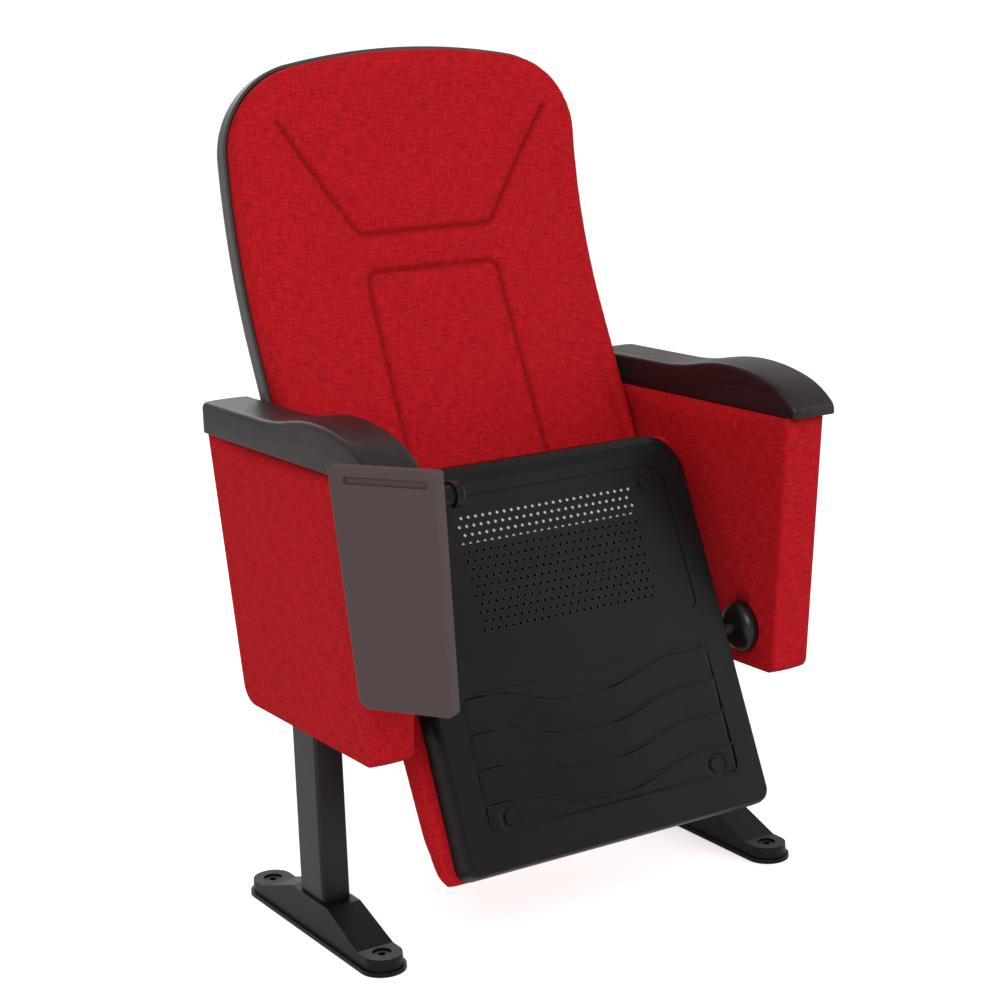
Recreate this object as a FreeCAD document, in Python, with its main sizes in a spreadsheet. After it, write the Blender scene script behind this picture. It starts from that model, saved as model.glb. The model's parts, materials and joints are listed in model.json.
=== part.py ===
"""Tip-up auditorium seat with a hanging writing tablet.

Frame: millimetres, +Z up, the sitter faces -Y, +X is the viewer's right.
The origin lies on the floor, in the middle of the four floor bolts.

The stand is two steel frames. Each is a cast foot, a rectangular post, a steel side plate and an
arm rail, dressed with an upholstered panel and a wooden armrest. The back hangs between them on
angle brackets. The seat turns on two stub shafts and is held up by springs in the round housings.
The seat is drawn level, as it is sat on, and is then tipped about its pivot.
"""

import FreeCAD
import Part

import math
import os

from FreeCAD import Placement, Rotation, Vector

X_AXIS = Vector(1, 0, 0)
Y_AXIS = Vector(0, 1, 0)
Z_AXIS = Vector(0, 0, 1)

# Driving dimensions: alias, value, what it is
DIMENSIONS = [
    ("panel_inner_x", 246, "inner face of a side panel from the middle plane"),
    ("panel_thickness", 54, "upholstered panel across"),
    ("panel_top_z", 566, "top of the panel, underside of the armrest"),
    ("panel_bottom_z", 250, "bottom of the panel"),
    ("panel_top_front_y", -214.5, "front corner at the top"),
    ("panel_top_rear_y", 184.5, "rear corner at the top"),
    ("panel_bottom_front_y", -181.5, "front corner at the bottom"),
    ("panel_bottom_rear_y", 123.5, "rear corner at the bottom"),
    ("panel_rear_radius", 26, "rounding of the rear bottom corner"),
    ("panel_front_radius", 12, "rounding of the front bottom corner"),
    ("cover_thickness", 4, "fabric and foam over the boards"),
    ("cover_softness", 3, "rounding of the cover's edges"),
    ("plate_thickness", 5, "steel side plate"),
    ("board_thickness", 5, "outer plywood board"),
    ("plate_inset", 12, "plate and board edge inside the cover's outline"),
    ("post_depth", 56, "post along Y"),
    ("post_middle_y", -4.5, "middle of the post"),
    ("post_wall", 3, "wall of the post's tube"),
    ("rail_thickness", 6, "flat bar under the armrest"),
    ("rail_front_y", -150, "front end of the bar"),
    ("rail_rear_y", 130, "rear end of the bar"),
    ("foot_length", 324, "foot along Y"),
    ("foot_width", 54, "flange of the foot along X"),
    ("foot_flange", 5, "flange thickness"),
    ("foot_lip", 3, "flange standing out round the foot"),
    ("foot_height", 46, "top of the foot at the post"),
    ("foot_toe", 19, "top of the foot at its ends"),
    ("foot_saddle", 88, "level top under the post along Y"),
    ("foot_taper", 3, "draft of the cast walls in degrees"),
    ("bolt_spacing", 269, "floor bolt holes of one foot along Y"),
    ("bolt_radius", 4.5, "floor bolt hole"),
    ("bolt_seat_radius", 11, "dished seat round a floor bolt"),
    ("bolt_seat_depth", 2.5, "depth of the dished seat"),
    ("arm_width", 62, "armrest across"),
    ("arm_front_y", -226.5, "front end of the armrest"),
    ("arm_rear_y", 178.5, "rear end of the armrest"),
    ("arm_height", 37, "armrest at its rear"),
    ("arm_crest", 50.5, "armrest at its crest"),
    ("arm_rounding", 5, "eased edges of the armrest"),
    ("screw_radius", 3, "shank of the frame screws"),
    ("screw_head_radius", 5.5, "head of the frame screws"),
    ("screw_head_height", 3.3, "head height"),
    ("screw_clearance", 0.2, "hole larger than the shank"),
    ("pivot_y", -127.5, "seat pivot"),
    ("pivot_z", 300, "seat pivot above the floor"),
    ("tip_angle", 112.8, "seat turned up from level, degrees"),
    ("shaft_radius", 6.5, "stub shaft"),
    ("running_fit", 0.05, "radial clearance of a running fit"),
    ("bush_radius", 11, "bush in the side plate"),
    ("bush_flange_radius", 15, "flange of the bush"),
    ("bush_flange", 1.5, "thickness of the bush's flange"),
    ("housing_radius", 30, "round spring housing"),
    ("housing_depth", 17.5, "housing standing off the panel"),
    ("housing_wall", 2.5, "wall of the housing"),
    ("spring_fit", 0.3, "gap between the shaft and the spring's inner end"),
    ("spring_wire", 1.4, "thickness of the spring's strip"),
    ("spring_turns", 3.5, "turns of the return spring"),
    ("spring_pitch", 2.6, "distance of the spring's turns"),
    ("spring_width", 9, "width of the spring's strip"),
    ("pan_front", 250, "seat pan forward of the pivot"),
    ("pan_rear", 210, "seat pan behind the pivot"),
    ("pan_half_width", 214, "seat pan at its rim"),
    ("pan_drop", 22.5, "pan's underside below the pivot"),
    ("pan_rim", 6.5, "pan's rim above the pivot"),
    ("pan_wall", 3, "pan wall"),
    ("recess_depth", 1.6, "sunk fields in the pan's underside"),
    ("recess_half_width", 172, "sunk fields across"),
    ("grille_front", 210, "front end of the perforated field"),
    ("grille_rear", 32, "rear end of the perforated field"),
    ("louvre_front", -10, "front end of the louvred field"),
    ("louvre_rear", -167, "rear end of the louvred field"),
    ("hole_pitch", 9.6, "perforations across"),
    ("hole_row_pitch", 9.9, "rows of perforations"),
    ("hole_size", 3.6, "perforation across"),
    ("hole_columns", 25, "perforations in a row"),
    ("hole_rows", 14, "rows of perforations"),
    ("louvre_pitch", 39.5, "distance of the louvre lips"),
    ("louvre_lip", 2.6, "louvre lip along the seat"),
    ("louvre_rise", 1.4, "louvre lip standing up"),
    ("louvre_dip", 21, "depth of the wave"),
    ("plug_x", 142, "screw plugs from the middle"),
    ("plug_front", 190, "front plugs forward of the pivot"),
    ("plug_rear", 152, "rear plugs behind the pivot"),
    ("plug_radius", 8.5, "screw plug"),
    ("seat_board_thickness", 9, "plywood in the seat"),
    ("seat_board_bottom", -2, "underside of the plywood from the pivot"),
    ("seat_half_width", 225, "seat cushion across"),
    ("seat_thickness", 60, "seat cushion over the pivot"),
    ("seat_crown", 14, "crown of the seat cushion"),
    ("hinge_plate", 4, "steel of the hinge arms"),
    ("hinge_inner_x", 197, "inner face of the hinge arm's upright"),
    ("hinge_half_length", 70, "hinge arm along the seat"),
    ("hinge_flange", 34, "hinge arm's flange along X"),
    ("back_bend_y", 136, "front of the back where its lower part starts to bend upright"),
    ("back_bend_z", 670, "height of that place"),
    ("back_lean", 24, "lower part of the back leaned from upright, degrees"),
    ("back_top_lean", 2, "top of the back leaned from upright, degrees"),
    ("back_bend_radius", 617, "radius of the back's front between the two"),
    ("back_recede", 12, "outline lowered toward the rear, degrees"),
    ("back_low_z", 358, "bottom of the back's outline, in the plane of the top's front"),
    ("back_waist_z", 492, "full width from here up, in the same plane"),
    ("back_shoulder_z", 968, "height of the corners that the top is rounded from"),
    ("back_top_z", 1009, "height of the middle of the top, before rounding"),
    ("back_half_low", 228, "cushion half width at the bottom"),
    ("back_half_high", 239, "cushion half width over its waist"),
    ("back_corner", 104, "rounding of the top corners"),
    ("back_top_radius", 850, "rounding of the top edge"),
    ("back_softness", 13, "rounding round the cushion's front"),
    ("back_thickness", 36, "cushion at its edge"),
    ("back_board_thickness", 12, "plywood in the back"),
    ("shell_rim", 28, "front edge of the shell behind the cushion's front"),
    ("shell_depth", 26, "shell from rim to its rear face"),
    ("shell_wall", 3.5, "shell wall"),
    ("soft_gap", 0.4, "gap between a soft piece and its shell"),
    ("channel_width", 3, "sewn channel"),
    ("channel_depth", 2.5, "sewn channel depth"),
    ("bracket_thickness", 3, "angle bracket of the back"),
    ("bracket_height", 90, "angle bracket along the back"),
    ("bracket_leg", 44, "rear leg of the angle bracket"),
    ("lift_y", -279.5, "tablet lift axis"),
    ("lift_drop", 5, "tablet lift axis under the armrest's underside"),
    ("lift_lean", 1.0, "tablet held forward of plumb, degrees"),
    ("lift_pin_radius", 6, "tablet lift pin"),
    ("lift_eye_radius", 13.5, "round end of the tablet arm"),
    ("tablet_arm_thickness", 8, "tablet arm across"),
    ("tablet_arm_length", 150, "tablet arm along Y"),
    ("turn_offset_x", -27.2, "tablet turn axis outside the panel's inner face"),
    ("turn_offset_y", -0.7, "tablet turn axis before the lift axis"),
    ("turn_angle", 60, "tablet turned from square to the front, degrees"),
    ("turn_pin_radius", 3, "tablet turn pin"),
    ("barrel_radius", 8, "hinge barrel"),
    ("tablet_thickness", 17, "tablet board"),
    ("tablet_gap", 14, "back of the board from the turn axis"),
    ("tablet_left", 100, "board outside the turn axis at the top"),
    ("tablet_right", 28.6, "board inside the turn axis at the top"),
    ("tablet_taper_left", 23.4, "board narrowed on the outside at the bottom"),
    ("tablet_flare_right", 5.8, "board widened on the inside at the bottom"),
    ("tablet_top", 35, "board above the lift axis"),
    ("tablet_length", 254, "board along its length"),
    ("tablet_corner", 14, "rounded bottom corners"),
    ("groove_depth", 3, "pen groove"),
    ("groove_width", 8, "pen groove"),
    ("groove_inset", 14, "pen groove from the top edge"),
]

doc = FreeCAD.newDocument("TipUpSeat")
sheet = doc.addObject("Spreadsheet::Sheet", "Sizes")
for row, (alias, value, meaning) in enumerate(DIMENSIONS, start=1):
    sheet.set("A%d" % row, alias)
    sheet.set("B%d" % row, str(value))
    sheet.set("C%d" % row, meaning)
    sheet.setAlias("B%d" % row, alias)
doc.recompute()

SIZES = {alias: float(sheet.get(alias)) for alias, _, _ in DIMENSIONS}
SIDES = (("left", -1), ("right", 1))
made = []


def size(alias):
    """A driving dimension from the sheet."""
    return SIZES[alias]


def keep(item, label):
    """Names a finished sub-part and puts it on the list of those written out."""
    item.Label = label
    made.append(item)
    return item


def feature(label, shape, placement=None):
    """A sub-part whose shape is worked out with Part's own functions."""
    item = doc.addObject("Part::Feature", label)
    item.Shape = shape
    if placement is not None:
        item.Placement = placement
    return keep(item, label)


def outline(corners):
    """Lines and tangent arcs round corners given as (x, y, radius)."""
    count = len(corners)
    starts, ends, arcs = [], [], []
    for index, (x, y, radius) in enumerate(corners):
        here = Vector(x, y, 0)
        before = Vector(*corners[index - 1][:2], 0) - here
        after = Vector(*corners[(index + 1) % count][:2], 0) - here
        before.normalize()
        after.normalize()
        if radius <= 0:
            starts.append(here)
            ends.append(here)
            arcs.append(None)
            continue
        half = before.getAngle(after) / 2
        reach = radius / math.tan(half)
        bisector = (before + after).normalize()
        middle = here + bisector * (radius / math.sin(half) - radius)
        starts.append(here + before * reach)
        ends.append(here + after * reach)
        arcs.append(Part.Arc(starts[-1], middle, ends[-1]))
    geometry = []
    for index in range(count):
        if arcs[index]:
            geometry.append(arcs[index])
        start, end = ends[index], starts[(index + 1) % count]
        if (end - start).Length > 1e-6:
            geometry.append(Part.LineSegment(start, end))
    return geometry


def circle(x, y, radius):
    """A circle for a sketch."""
    return Part.Circle(Vector(x, y, 0), Z_AXIS, radius)


def slab_corners(x0, y0, x1, y1, radius=0):
    """The corners of a rectangle, for outline."""
    return [(x0, y0, radius), (x1, y0, radius), (x1, y1, radius), (x0, y1, radius)]


def wire_at(geometry, level):
    """The wire of an XY outline at a height."""
    wire = Part.Wire([item.toShape() for item in geometry])
    wire.translate(Z_AXIS * level)
    return wire


def prism(geometry, low, high):
    """An XY outline raised from low to high."""
    return Part.Face(wire_at(geometry, low)).extrude(Z_AXIS * (high - low))


def rod(centre, axis, radius, length):
    """A round bar from its centre point along an axis."""
    return Part.makeCylinder(radius, length, centre, axis)


def block(x0, y0, z0, x1, y1, z1):
    """A box between two corners."""
    return Part.makeBox(x1 - x0, y1 - y0, z1 - z0, Vector(x0, y0, z0))


def sketch_in(body, role, name, geometry, offset=0.0):
    """A sketch on one of the body's own planes, moved along the plane's normal."""
    plane = next(item for item in body.Origin.OriginFeatures if item.Role == role)
    sketch = body.newObject("Sketcher::SketchObject", name)
    sketch.AttachmentSupport = [(plane, "")]
    sketch.MapMode = "FlatFace"
    sketch.AttachmentOffset = Placement(Vector(0, 0, offset), Rotation())
    sketch.addGeometry(geometry, False)
    return sketch


def pad_body(label, role, geometry, offset, length):
    """A body of one pad. The length is an expression on the sheet."""
    body = doc.addObject("PartDesign::Body", label)
    sketch = sketch_in(body, role, label + "_sketch", geometry, offset)
    pad = body.newObject("PartDesign::Pad", label + "_pad")
    pad.Profile = sketch
    pad.setExpression("Length", length)
    sketch.Visibility = False
    doc.recompute()
    return body, pad


def pocket_in(body, role, name, geometry, offset, length, reversed_cut=False):
    """Cuts a pocket in a body and checks that it took material away."""
    before = body.Shape.Volume
    sketch = sketch_in(body, role, name + "_sketch", geometry, offset)
    pocket = body.newObject("PartDesign::Pocket", name)
    pocket.Profile = sketch
    pocket.Reversed = reversed_cut
    pocket.setExpression("Length", length)
    doc.recompute()
    if not body.Shape.Volume < before:
        raise ValueError(name + " cut nothing")
    return pocket


def side_start(side, inner, thickness):
    """Low X of a piece that lies on one side, from its inner face."""
    return inner if side > 0 else -(inner + thickness)


# Places worked out from the driving dimensions
panel_outer_x = size("panel_inner_x") + size("panel_thickness")
panel_middle_x = size("panel_inner_x") + size("panel_thickness") / 2
cover_inside_x = size("panel_inner_x") + size("cover_thickness")
post_inner_x = cover_inside_x + size("plate_thickness")
post_width = size("panel_thickness") - 2 * size("cover_thickness")
post_width -= size("plate_thickness") + size("board_thickness")
post_x = post_inner_x + post_width / 2
post_front_y = size("post_middle_y") - size("post_depth") / 2
post_rear_y = size("post_middle_y") + size("post_depth") / 2
rail_bottom_z = size("panel_top_z") - size("rail_thickness")
pivot = Vector(0, size("pivot_y"), size("pivot_z"))
seat_placement = Placement(pivot, Rotation(X_AXIS, -size("tip_angle")))
back_placement = Placement(
    Vector(0, size("back_bend_y"), size("back_bend_z")), Rotation(X_AXIS, -size("back_lean"))
)
lift_z = size("panel_top_z") - size("lift_drop")
lift_placement = Placement(
    Vector(-size("panel_inner_x"), size("lift_y"), lift_z), Rotation(X_AXIS, -size("lift_lean"))
)
turn_placement = lift_placement.multiply(
    Placement(
        Vector(size("turn_offset_x"), size("turn_offset_y"), 0), Rotation(Z_AXIS, -size("turn_angle"))
    )
)
bracket_screw_levels = (-262, -207)
arm_screw_y = (-110, 95)
tablet_screw_places = (-178, -146)


def panel_corners(inset=0.0, top_drop=0.0):
    """The side panel's trapezoid in Y and Z, drawn in by an inset."""
    height = size("panel_top_z") - size("panel_bottom_z")
    front_lean = (size("panel_top_front_y") - size("panel_bottom_front_y")) / height
    rear_lean = (size("panel_top_rear_y") - size("panel_bottom_rear_y")) / height
    low = size("panel_bottom_z") + inset
    high = size("panel_top_z") - top_drop
    front_low = size("panel_bottom_front_y") + front_lean * inset + inset
    rear_low = size("panel_bottom_rear_y") + rear_lean * inset - inset
    rise = high - low
    return [
        (front_low, low, max(size("panel_front_radius") - inset / 2, 3)),
        (rear_low, low, max(size("panel_rear_radius") - inset / 2, 3)),
        (rear_low + rear_lean * rise, high, 0),
        (front_low + front_lean * rise, high, 0),
    ]


def foot_outline(grow=0.0):
    """The foot seen from above: straight flanks and round ends."""
    half_width = size("foot_width") / 2 - size("foot_lip") + grow
    half_length = size("foot_length") / 2 - size("foot_lip") + grow
    straight = half_length - half_width
    return [
        Part.LineSegment(Vector(half_width, -straight, 0), Vector(half_width, straight, 0)),
        Part.Arc(Vector(half_width, straight, 0), Vector(0, half_length, 0), Vector(-half_width, straight, 0)),
        Part.LineSegment(Vector(-half_width, straight, 0), Vector(-half_width, -straight, 0)),
        Part.Arc(Vector(-half_width, -straight, 0), Vector(0, -half_length, 0), Vector(half_width, -straight, 0)),
    ]


def make_foot(name, side):
    """A cast foot: drafted walls under a top that falls to both bolt seats, on a thin flange."""
    label = "foot_" + name
    body, pad = pad_body(label, "XY_Plane", foot_outline(), 0, "Sizes.foot_height")
    pad.TaperAngle = -size("foot_taper")
    half_saddle = size("foot_saddle") / 2
    end_y = size("bolt_spacing") / 2 - size("bolt_seat_radius") - 4
    above = size("foot_height") + 10
    beyond = size("foot_length")
    middle = size("post_middle_y")
    for label_end, sign in (("toe", -1), ("heel", 1)):
        slope = outline(
            [
                (middle + sign * half_saddle, size("foot_height"), 0),
                (sign * end_y, size("foot_toe"), 0),
                (sign * beyond, size("foot_toe"), 0),
                (sign * beyond, above, 0),
                (middle + sign * half_saddle, above, 0),
            ]
        )
        sketch = sketch_in(body, "YZ_Plane", "%s_%s_sketch" % (label, label_end), slope)
        pocket = body.newObject("PartDesign::Pocket", "%s_%s" % (label, label_end))
        pocket.Profile = sketch
        pocket.Type = "ThroughAll"
        pocket.Midplane = True
        doc.recompute()
    flange_sketch = sketch_in(body, "XY_Plane", label + "_flange_sketch", foot_outline(size("foot_lip")))
    flange = body.newObject("PartDesign::Pad", label + "_flange")
    flange.Profile = flange_sketch
    flange.setExpression("Length", "Sizes.foot_flange")
    doc.recompute()
    half_spacing = size("bolt_spacing") / 2
    bolts = [circle(0, place, size("bolt_radius")) for place in (-half_spacing, half_spacing)]
    seats = [circle(0, place, size("bolt_seat_radius")) for place in (-half_spacing, half_spacing)]
    pocket_in(body, "XY_Plane", label + "_bolts", bolts, size("foot_height"), "Sizes.foot_height")
    pocket_in(body, "XY_Plane", label + "_seats", seats, size("foot_toe"), "Sizes.bolt_seat_depth")
    body.Placement = Placement(Vector(side * post_x, 0, 0), Rotation())
    return keep(body, label)


def make_post(name, side):
    """A rectangular steel tube from the foot's saddle to the arm rail."""
    label = "post_" + name
    wall = size("post_wall")
    half = post_width / 2
    tube = outline(slab_corners(-half, post_front_y, half, post_rear_y, 4))
    tube += outline(slab_corners(-half + wall, post_front_y + wall, half - wall, post_rear_y - wall, 1.5))
    body, _ = pad_body(
        label, "XY_Plane", tube, size("foot_height"),
        "Sizes.panel_top_z - Sizes.rail_thickness - Sizes.foot_height",
    )
    body.Placement = Placement(Vector(side * post_x, 0, 0), Rotation())
    return keep(body, label)


def bracket_screw_points():
    """Where the back brackets' screws enter the side plate, in Y and Z."""
    depth = 18
    points = []
    for level in bracket_screw_levels:
        place = back_placement.multVec(Vector(0, depth, level))
        points.append((place.y, place.z))
    return points


def make_side_plate(name, side):
    """The steel plate that carries the seat's bush, the back bracket and the tablet arm."""
    label = "side_plate_" + name
    profile = outline(panel_corners(size("plate_inset"), 1))
    profile.append(circle(size("pivot_y"), size("pivot_z"), size("bush_radius")))
    hole = size("screw_radius") + size("screw_clearance")
    profile += [circle(y, z, hole) for y, z in bracket_screw_points()]
    if side < 0:
        profile += [circle(y, z, hole) for y, z in tablet_screw_points()]
    start = side_start(side, cover_inside_x, size("plate_thickness"))
    body, _ = pad_body(label, "YZ_Plane", profile, start, "Sizes.plate_thickness")
    return keep(body, label)


def make_outer_board(name, side):
    """The plywood board on the outer face of the post."""
    label = "outer_board_" + name
    profile = outline(panel_corners(size("plate_inset"), 1))
    start = side_start(side, post_inner_x + post_width, size("board_thickness"))
    body, _ = pad_body(label, "YZ_Plane", profile, start, "Sizes.board_thickness")
    return keep(body, label)


def make_side_cover(name, side):
    """The upholstered cover, a soft case that is open under the armrest."""
    label = "side_cover_" + name
    start = side_start(side, size("panel_inner_x"), size("panel_thickness"))
    body, pad = pad_body(label, "YZ_Plane", outline(panel_corners()), start, "Sizes.panel_thickness")
    faces = (start, start + size("panel_thickness"))
    edges = []
    for index, edge in enumerate(pad.Shape.Edges, start=1):
        box = edge.BoundBox
        flat = box.XLength < 1e-6 and min(abs(box.XMin - face) for face in faces) < 1e-6
        if flat and box.ZMin < size("panel_top_z") - 1:
            edges.append("Edge%d" % index)
    soft = body.newObject("PartDesign::Fillet", label + "_soft")
    soft.Base = (pad, edges)
    soft.setExpression("Radius", "Sizes.cover_softness")
    doc.recompute()
    cavity = outline(panel_corners(size("cover_thickness"), -5))
    pocket_in(
        body, "YZ_Plane", label + "_cavity", cavity, start + size("panel_thickness") - size("cover_thickness"),
        "Sizes.panel_thickness - 2 * Sizes.cover_thickness",
    )
    middle = side * post_x
    opening = outline(
        slab_corners(middle - post_width / 2, post_front_y, middle + post_width / 2, post_rear_y, 4)
    )
    pocket_in(
        body, "XY_Plane", label + "_post", opening, size("panel_bottom_z") + size("cover_thickness") + 1,
        "Sizes.cover_thickness + 2",
    )
    hole = size("screw_radius") + size("screw_clearance")
    holes = [circle(size("pivot_y"), size("pivot_z"), size("bush_flange_radius") + size("soft_gap"))]
    holes += [circle(y, z, hole) for y, z in bracket_screw_points()]
    if side < 0:
        holes += [circle(y, z, hole) for y, z in tablet_screw_points()]
    inner_face = cover_inside_x if side > 0 else -size("panel_inner_x")
    pocket_in(body, "YZ_Plane", label + "_holes", holes, inner_face, "Sizes.cover_thickness")
    return keep(body, label)


def make_arm_rail(name, side):
    """The flat bar on top of the post that the armrest is screwed to."""
    label = "arm_rail_" + name
    half = post_width / 2
    hole = size("screw_radius") + size("screw_clearance")
    profile = outline(slab_corners(-half, size("rail_front_y"), half, size("rail_rear_y"), 6))
    profile += [circle(0, y, hole) for y in arm_screw_y]
    body, _ = pad_body(label, "XY_Plane", profile, rail_bottom_z, "Sizes.rail_thickness")
    body.Placement = Placement(Vector(side * post_x, 0, 0), Rotation())
    return keep(body, label)


def tangent_arc(start, end, slope):
    """An arc that leaves start at a slope in radians, and the slope it arrives with."""
    chord = end - start
    lean = math.atan2(chord.y, chord.x)
    swing = lean - slope
    sagitta = chord.Length / 2 * math.tan(swing / 2)
    normal = Vector(-chord.y, chord.x, 0).normalize()
    return Part.Arc(start, (start + end) / 2 - normal * sagitta, end), lean + swing


def arm_profile(inset=0.0):
    """The armrest from the side: level behind, a dip, a crest and a falling nose."""
    bottom = size("panel_top_z")
    rear, front = size("arm_rear_y") - inset, size("arm_front_y") + inset
    level = bottom + size("arm_height") - inset
    crest = bottom + size("arm_crest") - inset
    heel, dip = Vector(rear, level, 0), Vector(front + 262 - inset, level, 0)
    top = Vector(front + 127 - inset, crest, 0)
    turn = dip + (top - dip) * 0.55
    shoulder = Vector(front + 59 - inset, crest - 13.5, 0)
    tip = Vector(front, bottom + 5, 0)
    first, slope = tangent_arc(dip, turn, math.pi)
    second, slope = tangent_arc(turn, top, slope)
    third, slope = tangent_arc(top, shoulder, slope)
    fourth, _ = tangent_arc(shoulder, tip, slope)
    return [
        Part.LineSegment(Vector(rear, bottom, 0), heel),
        Part.LineSegment(heel, dip),
        first,
        second,
        third,
        fourth,
        Part.LineSegment(tip, Vector(front + 4, bottom, 0)),
        Part.LineSegment(Vector(front + 4, bottom, 0), Vector(rear, bottom, 0)),
    ]


def make_armrest(name, side):
    """A solid wooden armrest with eased edges, bored for its two screws."""
    wires = []
    ease, width = size("arm_rounding"), size("arm_width")
    for across, share in ((0, 1.0), (0.3, 0.3), (1.0, 0.0)):
        wires.append((across * ease, share * ease))
    wires += [(width - across, inset) for across, inset in reversed(wires)]
    sections = [wire_at(arm_profile(inset), across) for across, inset in wires]
    rest = Part.makeLoft(sections, True, True)
    rest.rotate(Vector(0, 0, 0), Vector(1, 1, 1), 120)
    rest.translate(X_AXIS * side_start(side, size("panel_inner_x"), width))
    for y in arm_screw_y:
        bore = rod(Vector(side * post_x, y, size("panel_top_z") - 1), Z_AXIS, size("screw_radius"), 23)
        rest = rest.cut(bore)
    return feature("armrest_" + name, rest)


def hexagon(centre, axis, radius, length):
    """A six-sided bar from a point along an axis."""
    corners = [
        Vector(radius * math.cos(math.radians(60 * k)), radius * math.sin(math.radians(60 * k)), 0)
        for k in range(7)
    ]
    bar = Part.Face(Part.makePolygon(corners)).extrude(Z_AXIS * length)
    bar.Placement = Placement(centre, Rotation(Z_AXIS, axis))
    return bar


def screw(head, axis, length):
    """A hexagon-headed screw: its head lies behind the point, its shank runs along the axis."""
    tall = size("screw_head_height")
    return hexagon(head - axis * tall, axis, size("screw_head_radius"), tall).fuse(
        rod(head, axis, size("screw_radius"), length)
    )


def make_arm_screws():
    """Two screws through each arm rail into the armrest."""
    screws = []
    for _, side in SIDES:
        for y in arm_screw_y:
            screws.append(screw(Vector(side * post_x, y, rail_bottom_z), Z_AXIS, 26))
    return feature("arm_screws", Part.makeCompound(screws))


def make_pivot_bush(name, side):
    """The nylon bush in the side plate, with its flange under the spring housing."""
    inner = cover_inside_x - size("bush_flange")
    axis = X_AXIS * side
    centre = Vector(side * inner, size("pivot_y"), size("pivot_z"))
    flange = rod(centre, axis, size("bush_flange_radius"), size("bush_flange"))
    sleeve = rod(centre, axis, size("bush_radius"), size("bush_flange") + size("plate_thickness"))
    bore = rod(centre - axis, axis, size("shaft_radius") + size("running_fit"), 20)
    return feature("pivot_bush_" + name, flange.fuse(sleeve).cut(bore).removeSplitter())


def make_spring_housing(name, side):
    """The round domed housing between the seat and the panel, hollow for the spring."""
    depth, radius, wall = size("housing_depth"), size("housing_radius"), size("housing_wall")
    dome = [
        Part.makeLine(Vector(0, 0, 0), Vector(radius, 0, 0)),
        Part.makeLine(Vector(radius, 0, 0), Vector(radius, 0, depth * 0.45)),
        Part.makeLine(Vector(radius, 0, depth * 0.45), Vector(radius - 3, 0, depth * 0.78)),
        Part.makeLine(Vector(radius - 3, 0, depth * 0.78), Vector(radius - 11, 0, depth)),
        Part.makeLine(Vector(radius - 11, 0, depth), Vector(0, 0, depth)),
        Part.makeLine(Vector(0, 0, depth), Vector(0, 0, 0)),
    ]
    solid = Part.Face(Part.Wire(dome)).revolve(Vector(0, 0, 0), Z_AXIS, 360)
    hollow = rod(Vector(0, 0, -1), Z_AXIS, radius - 11, depth - wall + 1)
    bore = rod(Vector(0, 0, -1), Z_AXIS, size("shaft_radius") + 1, depth + 2)
    shape = solid.cut(hollow).cut(bore)
    turn = Rotation(Y_AXIS, -90 * side)
    place = Vector(side * size("panel_inner_x"), size("pivot_y"), size("pivot_z"))
    return feature("spring_housing_" + name, shape, Placement(place, turn))


def spiral(outer, pitch, turns):
    """A spiral of half circles from its outer end inward, as edges and its two ends."""
    edges = []
    x, radius, way = outer, outer, -1
    for _ in range(int(turns * 2)):
        radius -= pitch / 2
        far = x + way * 2 * radius
        centre = (x + far) / 2
        edges.append(Part.Arc(Vector(x, 0, 0), Vector(centre, -way * radius, 0), Vector(far, 0, 0)).toShape())
        x, way = far, -way
    return edges, Vector(outer, 0, 0), Vector(x, 0, 0)


def make_return_spring(name, side):
    """The flat strip wound round the shaft, inside its housing."""
    pitch, turns = size("spring_pitch"), size("spring_turns")
    core = size("shaft_radius") + size("spring_fit") + pitch * (turns + 0.5)
    outside, outer_start, outer_end = spiral(core + size("spring_wire"), pitch, turns)
    inside, inner_start, inner_end = spiral(core, pitch, turns)
    ends = [Part.makeLine(outer_start, inner_start), Part.makeLine(outer_end, inner_end)]
    wire = Part.Wire(Part.__sortEdges__(outside + ends + inside))
    coil = Part.Face(wire).extrude(Z_AXIS * size("spring_width"))
    turn = Rotation(Y_AXIS, -90 * side)
    gap = 1.6
    place = Vector(side * (size("panel_inner_x") - gap), size("pivot_y"), size("pivot_z"))
    return feature("return_spring_" + name, coil, Placement(place, turn))


def pan_outline(inset_side, inset_front, inset_rear, front_radius, rear_radius):
    """The seat pan from below, front toward -Y, narrowed a little at the rear."""
    half = size("pan_half_width") - inset_side
    front = -size("pan_front") + inset_front
    rear = size("pan_rear") - inset_rear
    narrow = 3
    return outline(
        [
            (-half + narrow, rear, rear_radius),
            (-half + 2 * narrow, front, front_radius),
            (half - 2 * narrow, front, front_radius),
            (half - narrow, rear, rear_radius),
        ]
    )


def pan_solid(wall):
    """The pan's tub drawn in by a wall, as a stack of ruled steps."""
    drop = size("pan_drop") - wall
    rim = size("pan_rim") + (1 if wall else 0)
    steps = [
        (-drop, 8, 26, 5, 34, 14),
        (-drop + 3, 5, 14, 3, 38, 16),
        (-drop + 9, 3, 6, 1.5, 40, 17),
        (rim, 0, 0, 0, 42, 18),
    ]
    wires = []
    for level, side_in, front_in, rear_in, front_radius, rear_radius in steps:
        wires.append(
            wire_at(
                pan_outline(side_in + wall, front_in + wall, rear_in + wall, front_radius, rear_radius), level
            )
        )
    return Part.makeLoft(wires, True, True)


def field(front, rear, front_radius, rear_radius, inset=0.0):
    """A sunk field of the pan's underside, between two distances forward of the pivot."""
    half = size("recess_half_width") - inset
    return outline(
        [
            (-half, -rear - inset, rear_radius),
            (-half + 3, -front + inset, front_radius),
            (half - 3, -front + inset, front_radius),
            (half, -rear - inset, rear_radius),
        ]
    )


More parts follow.
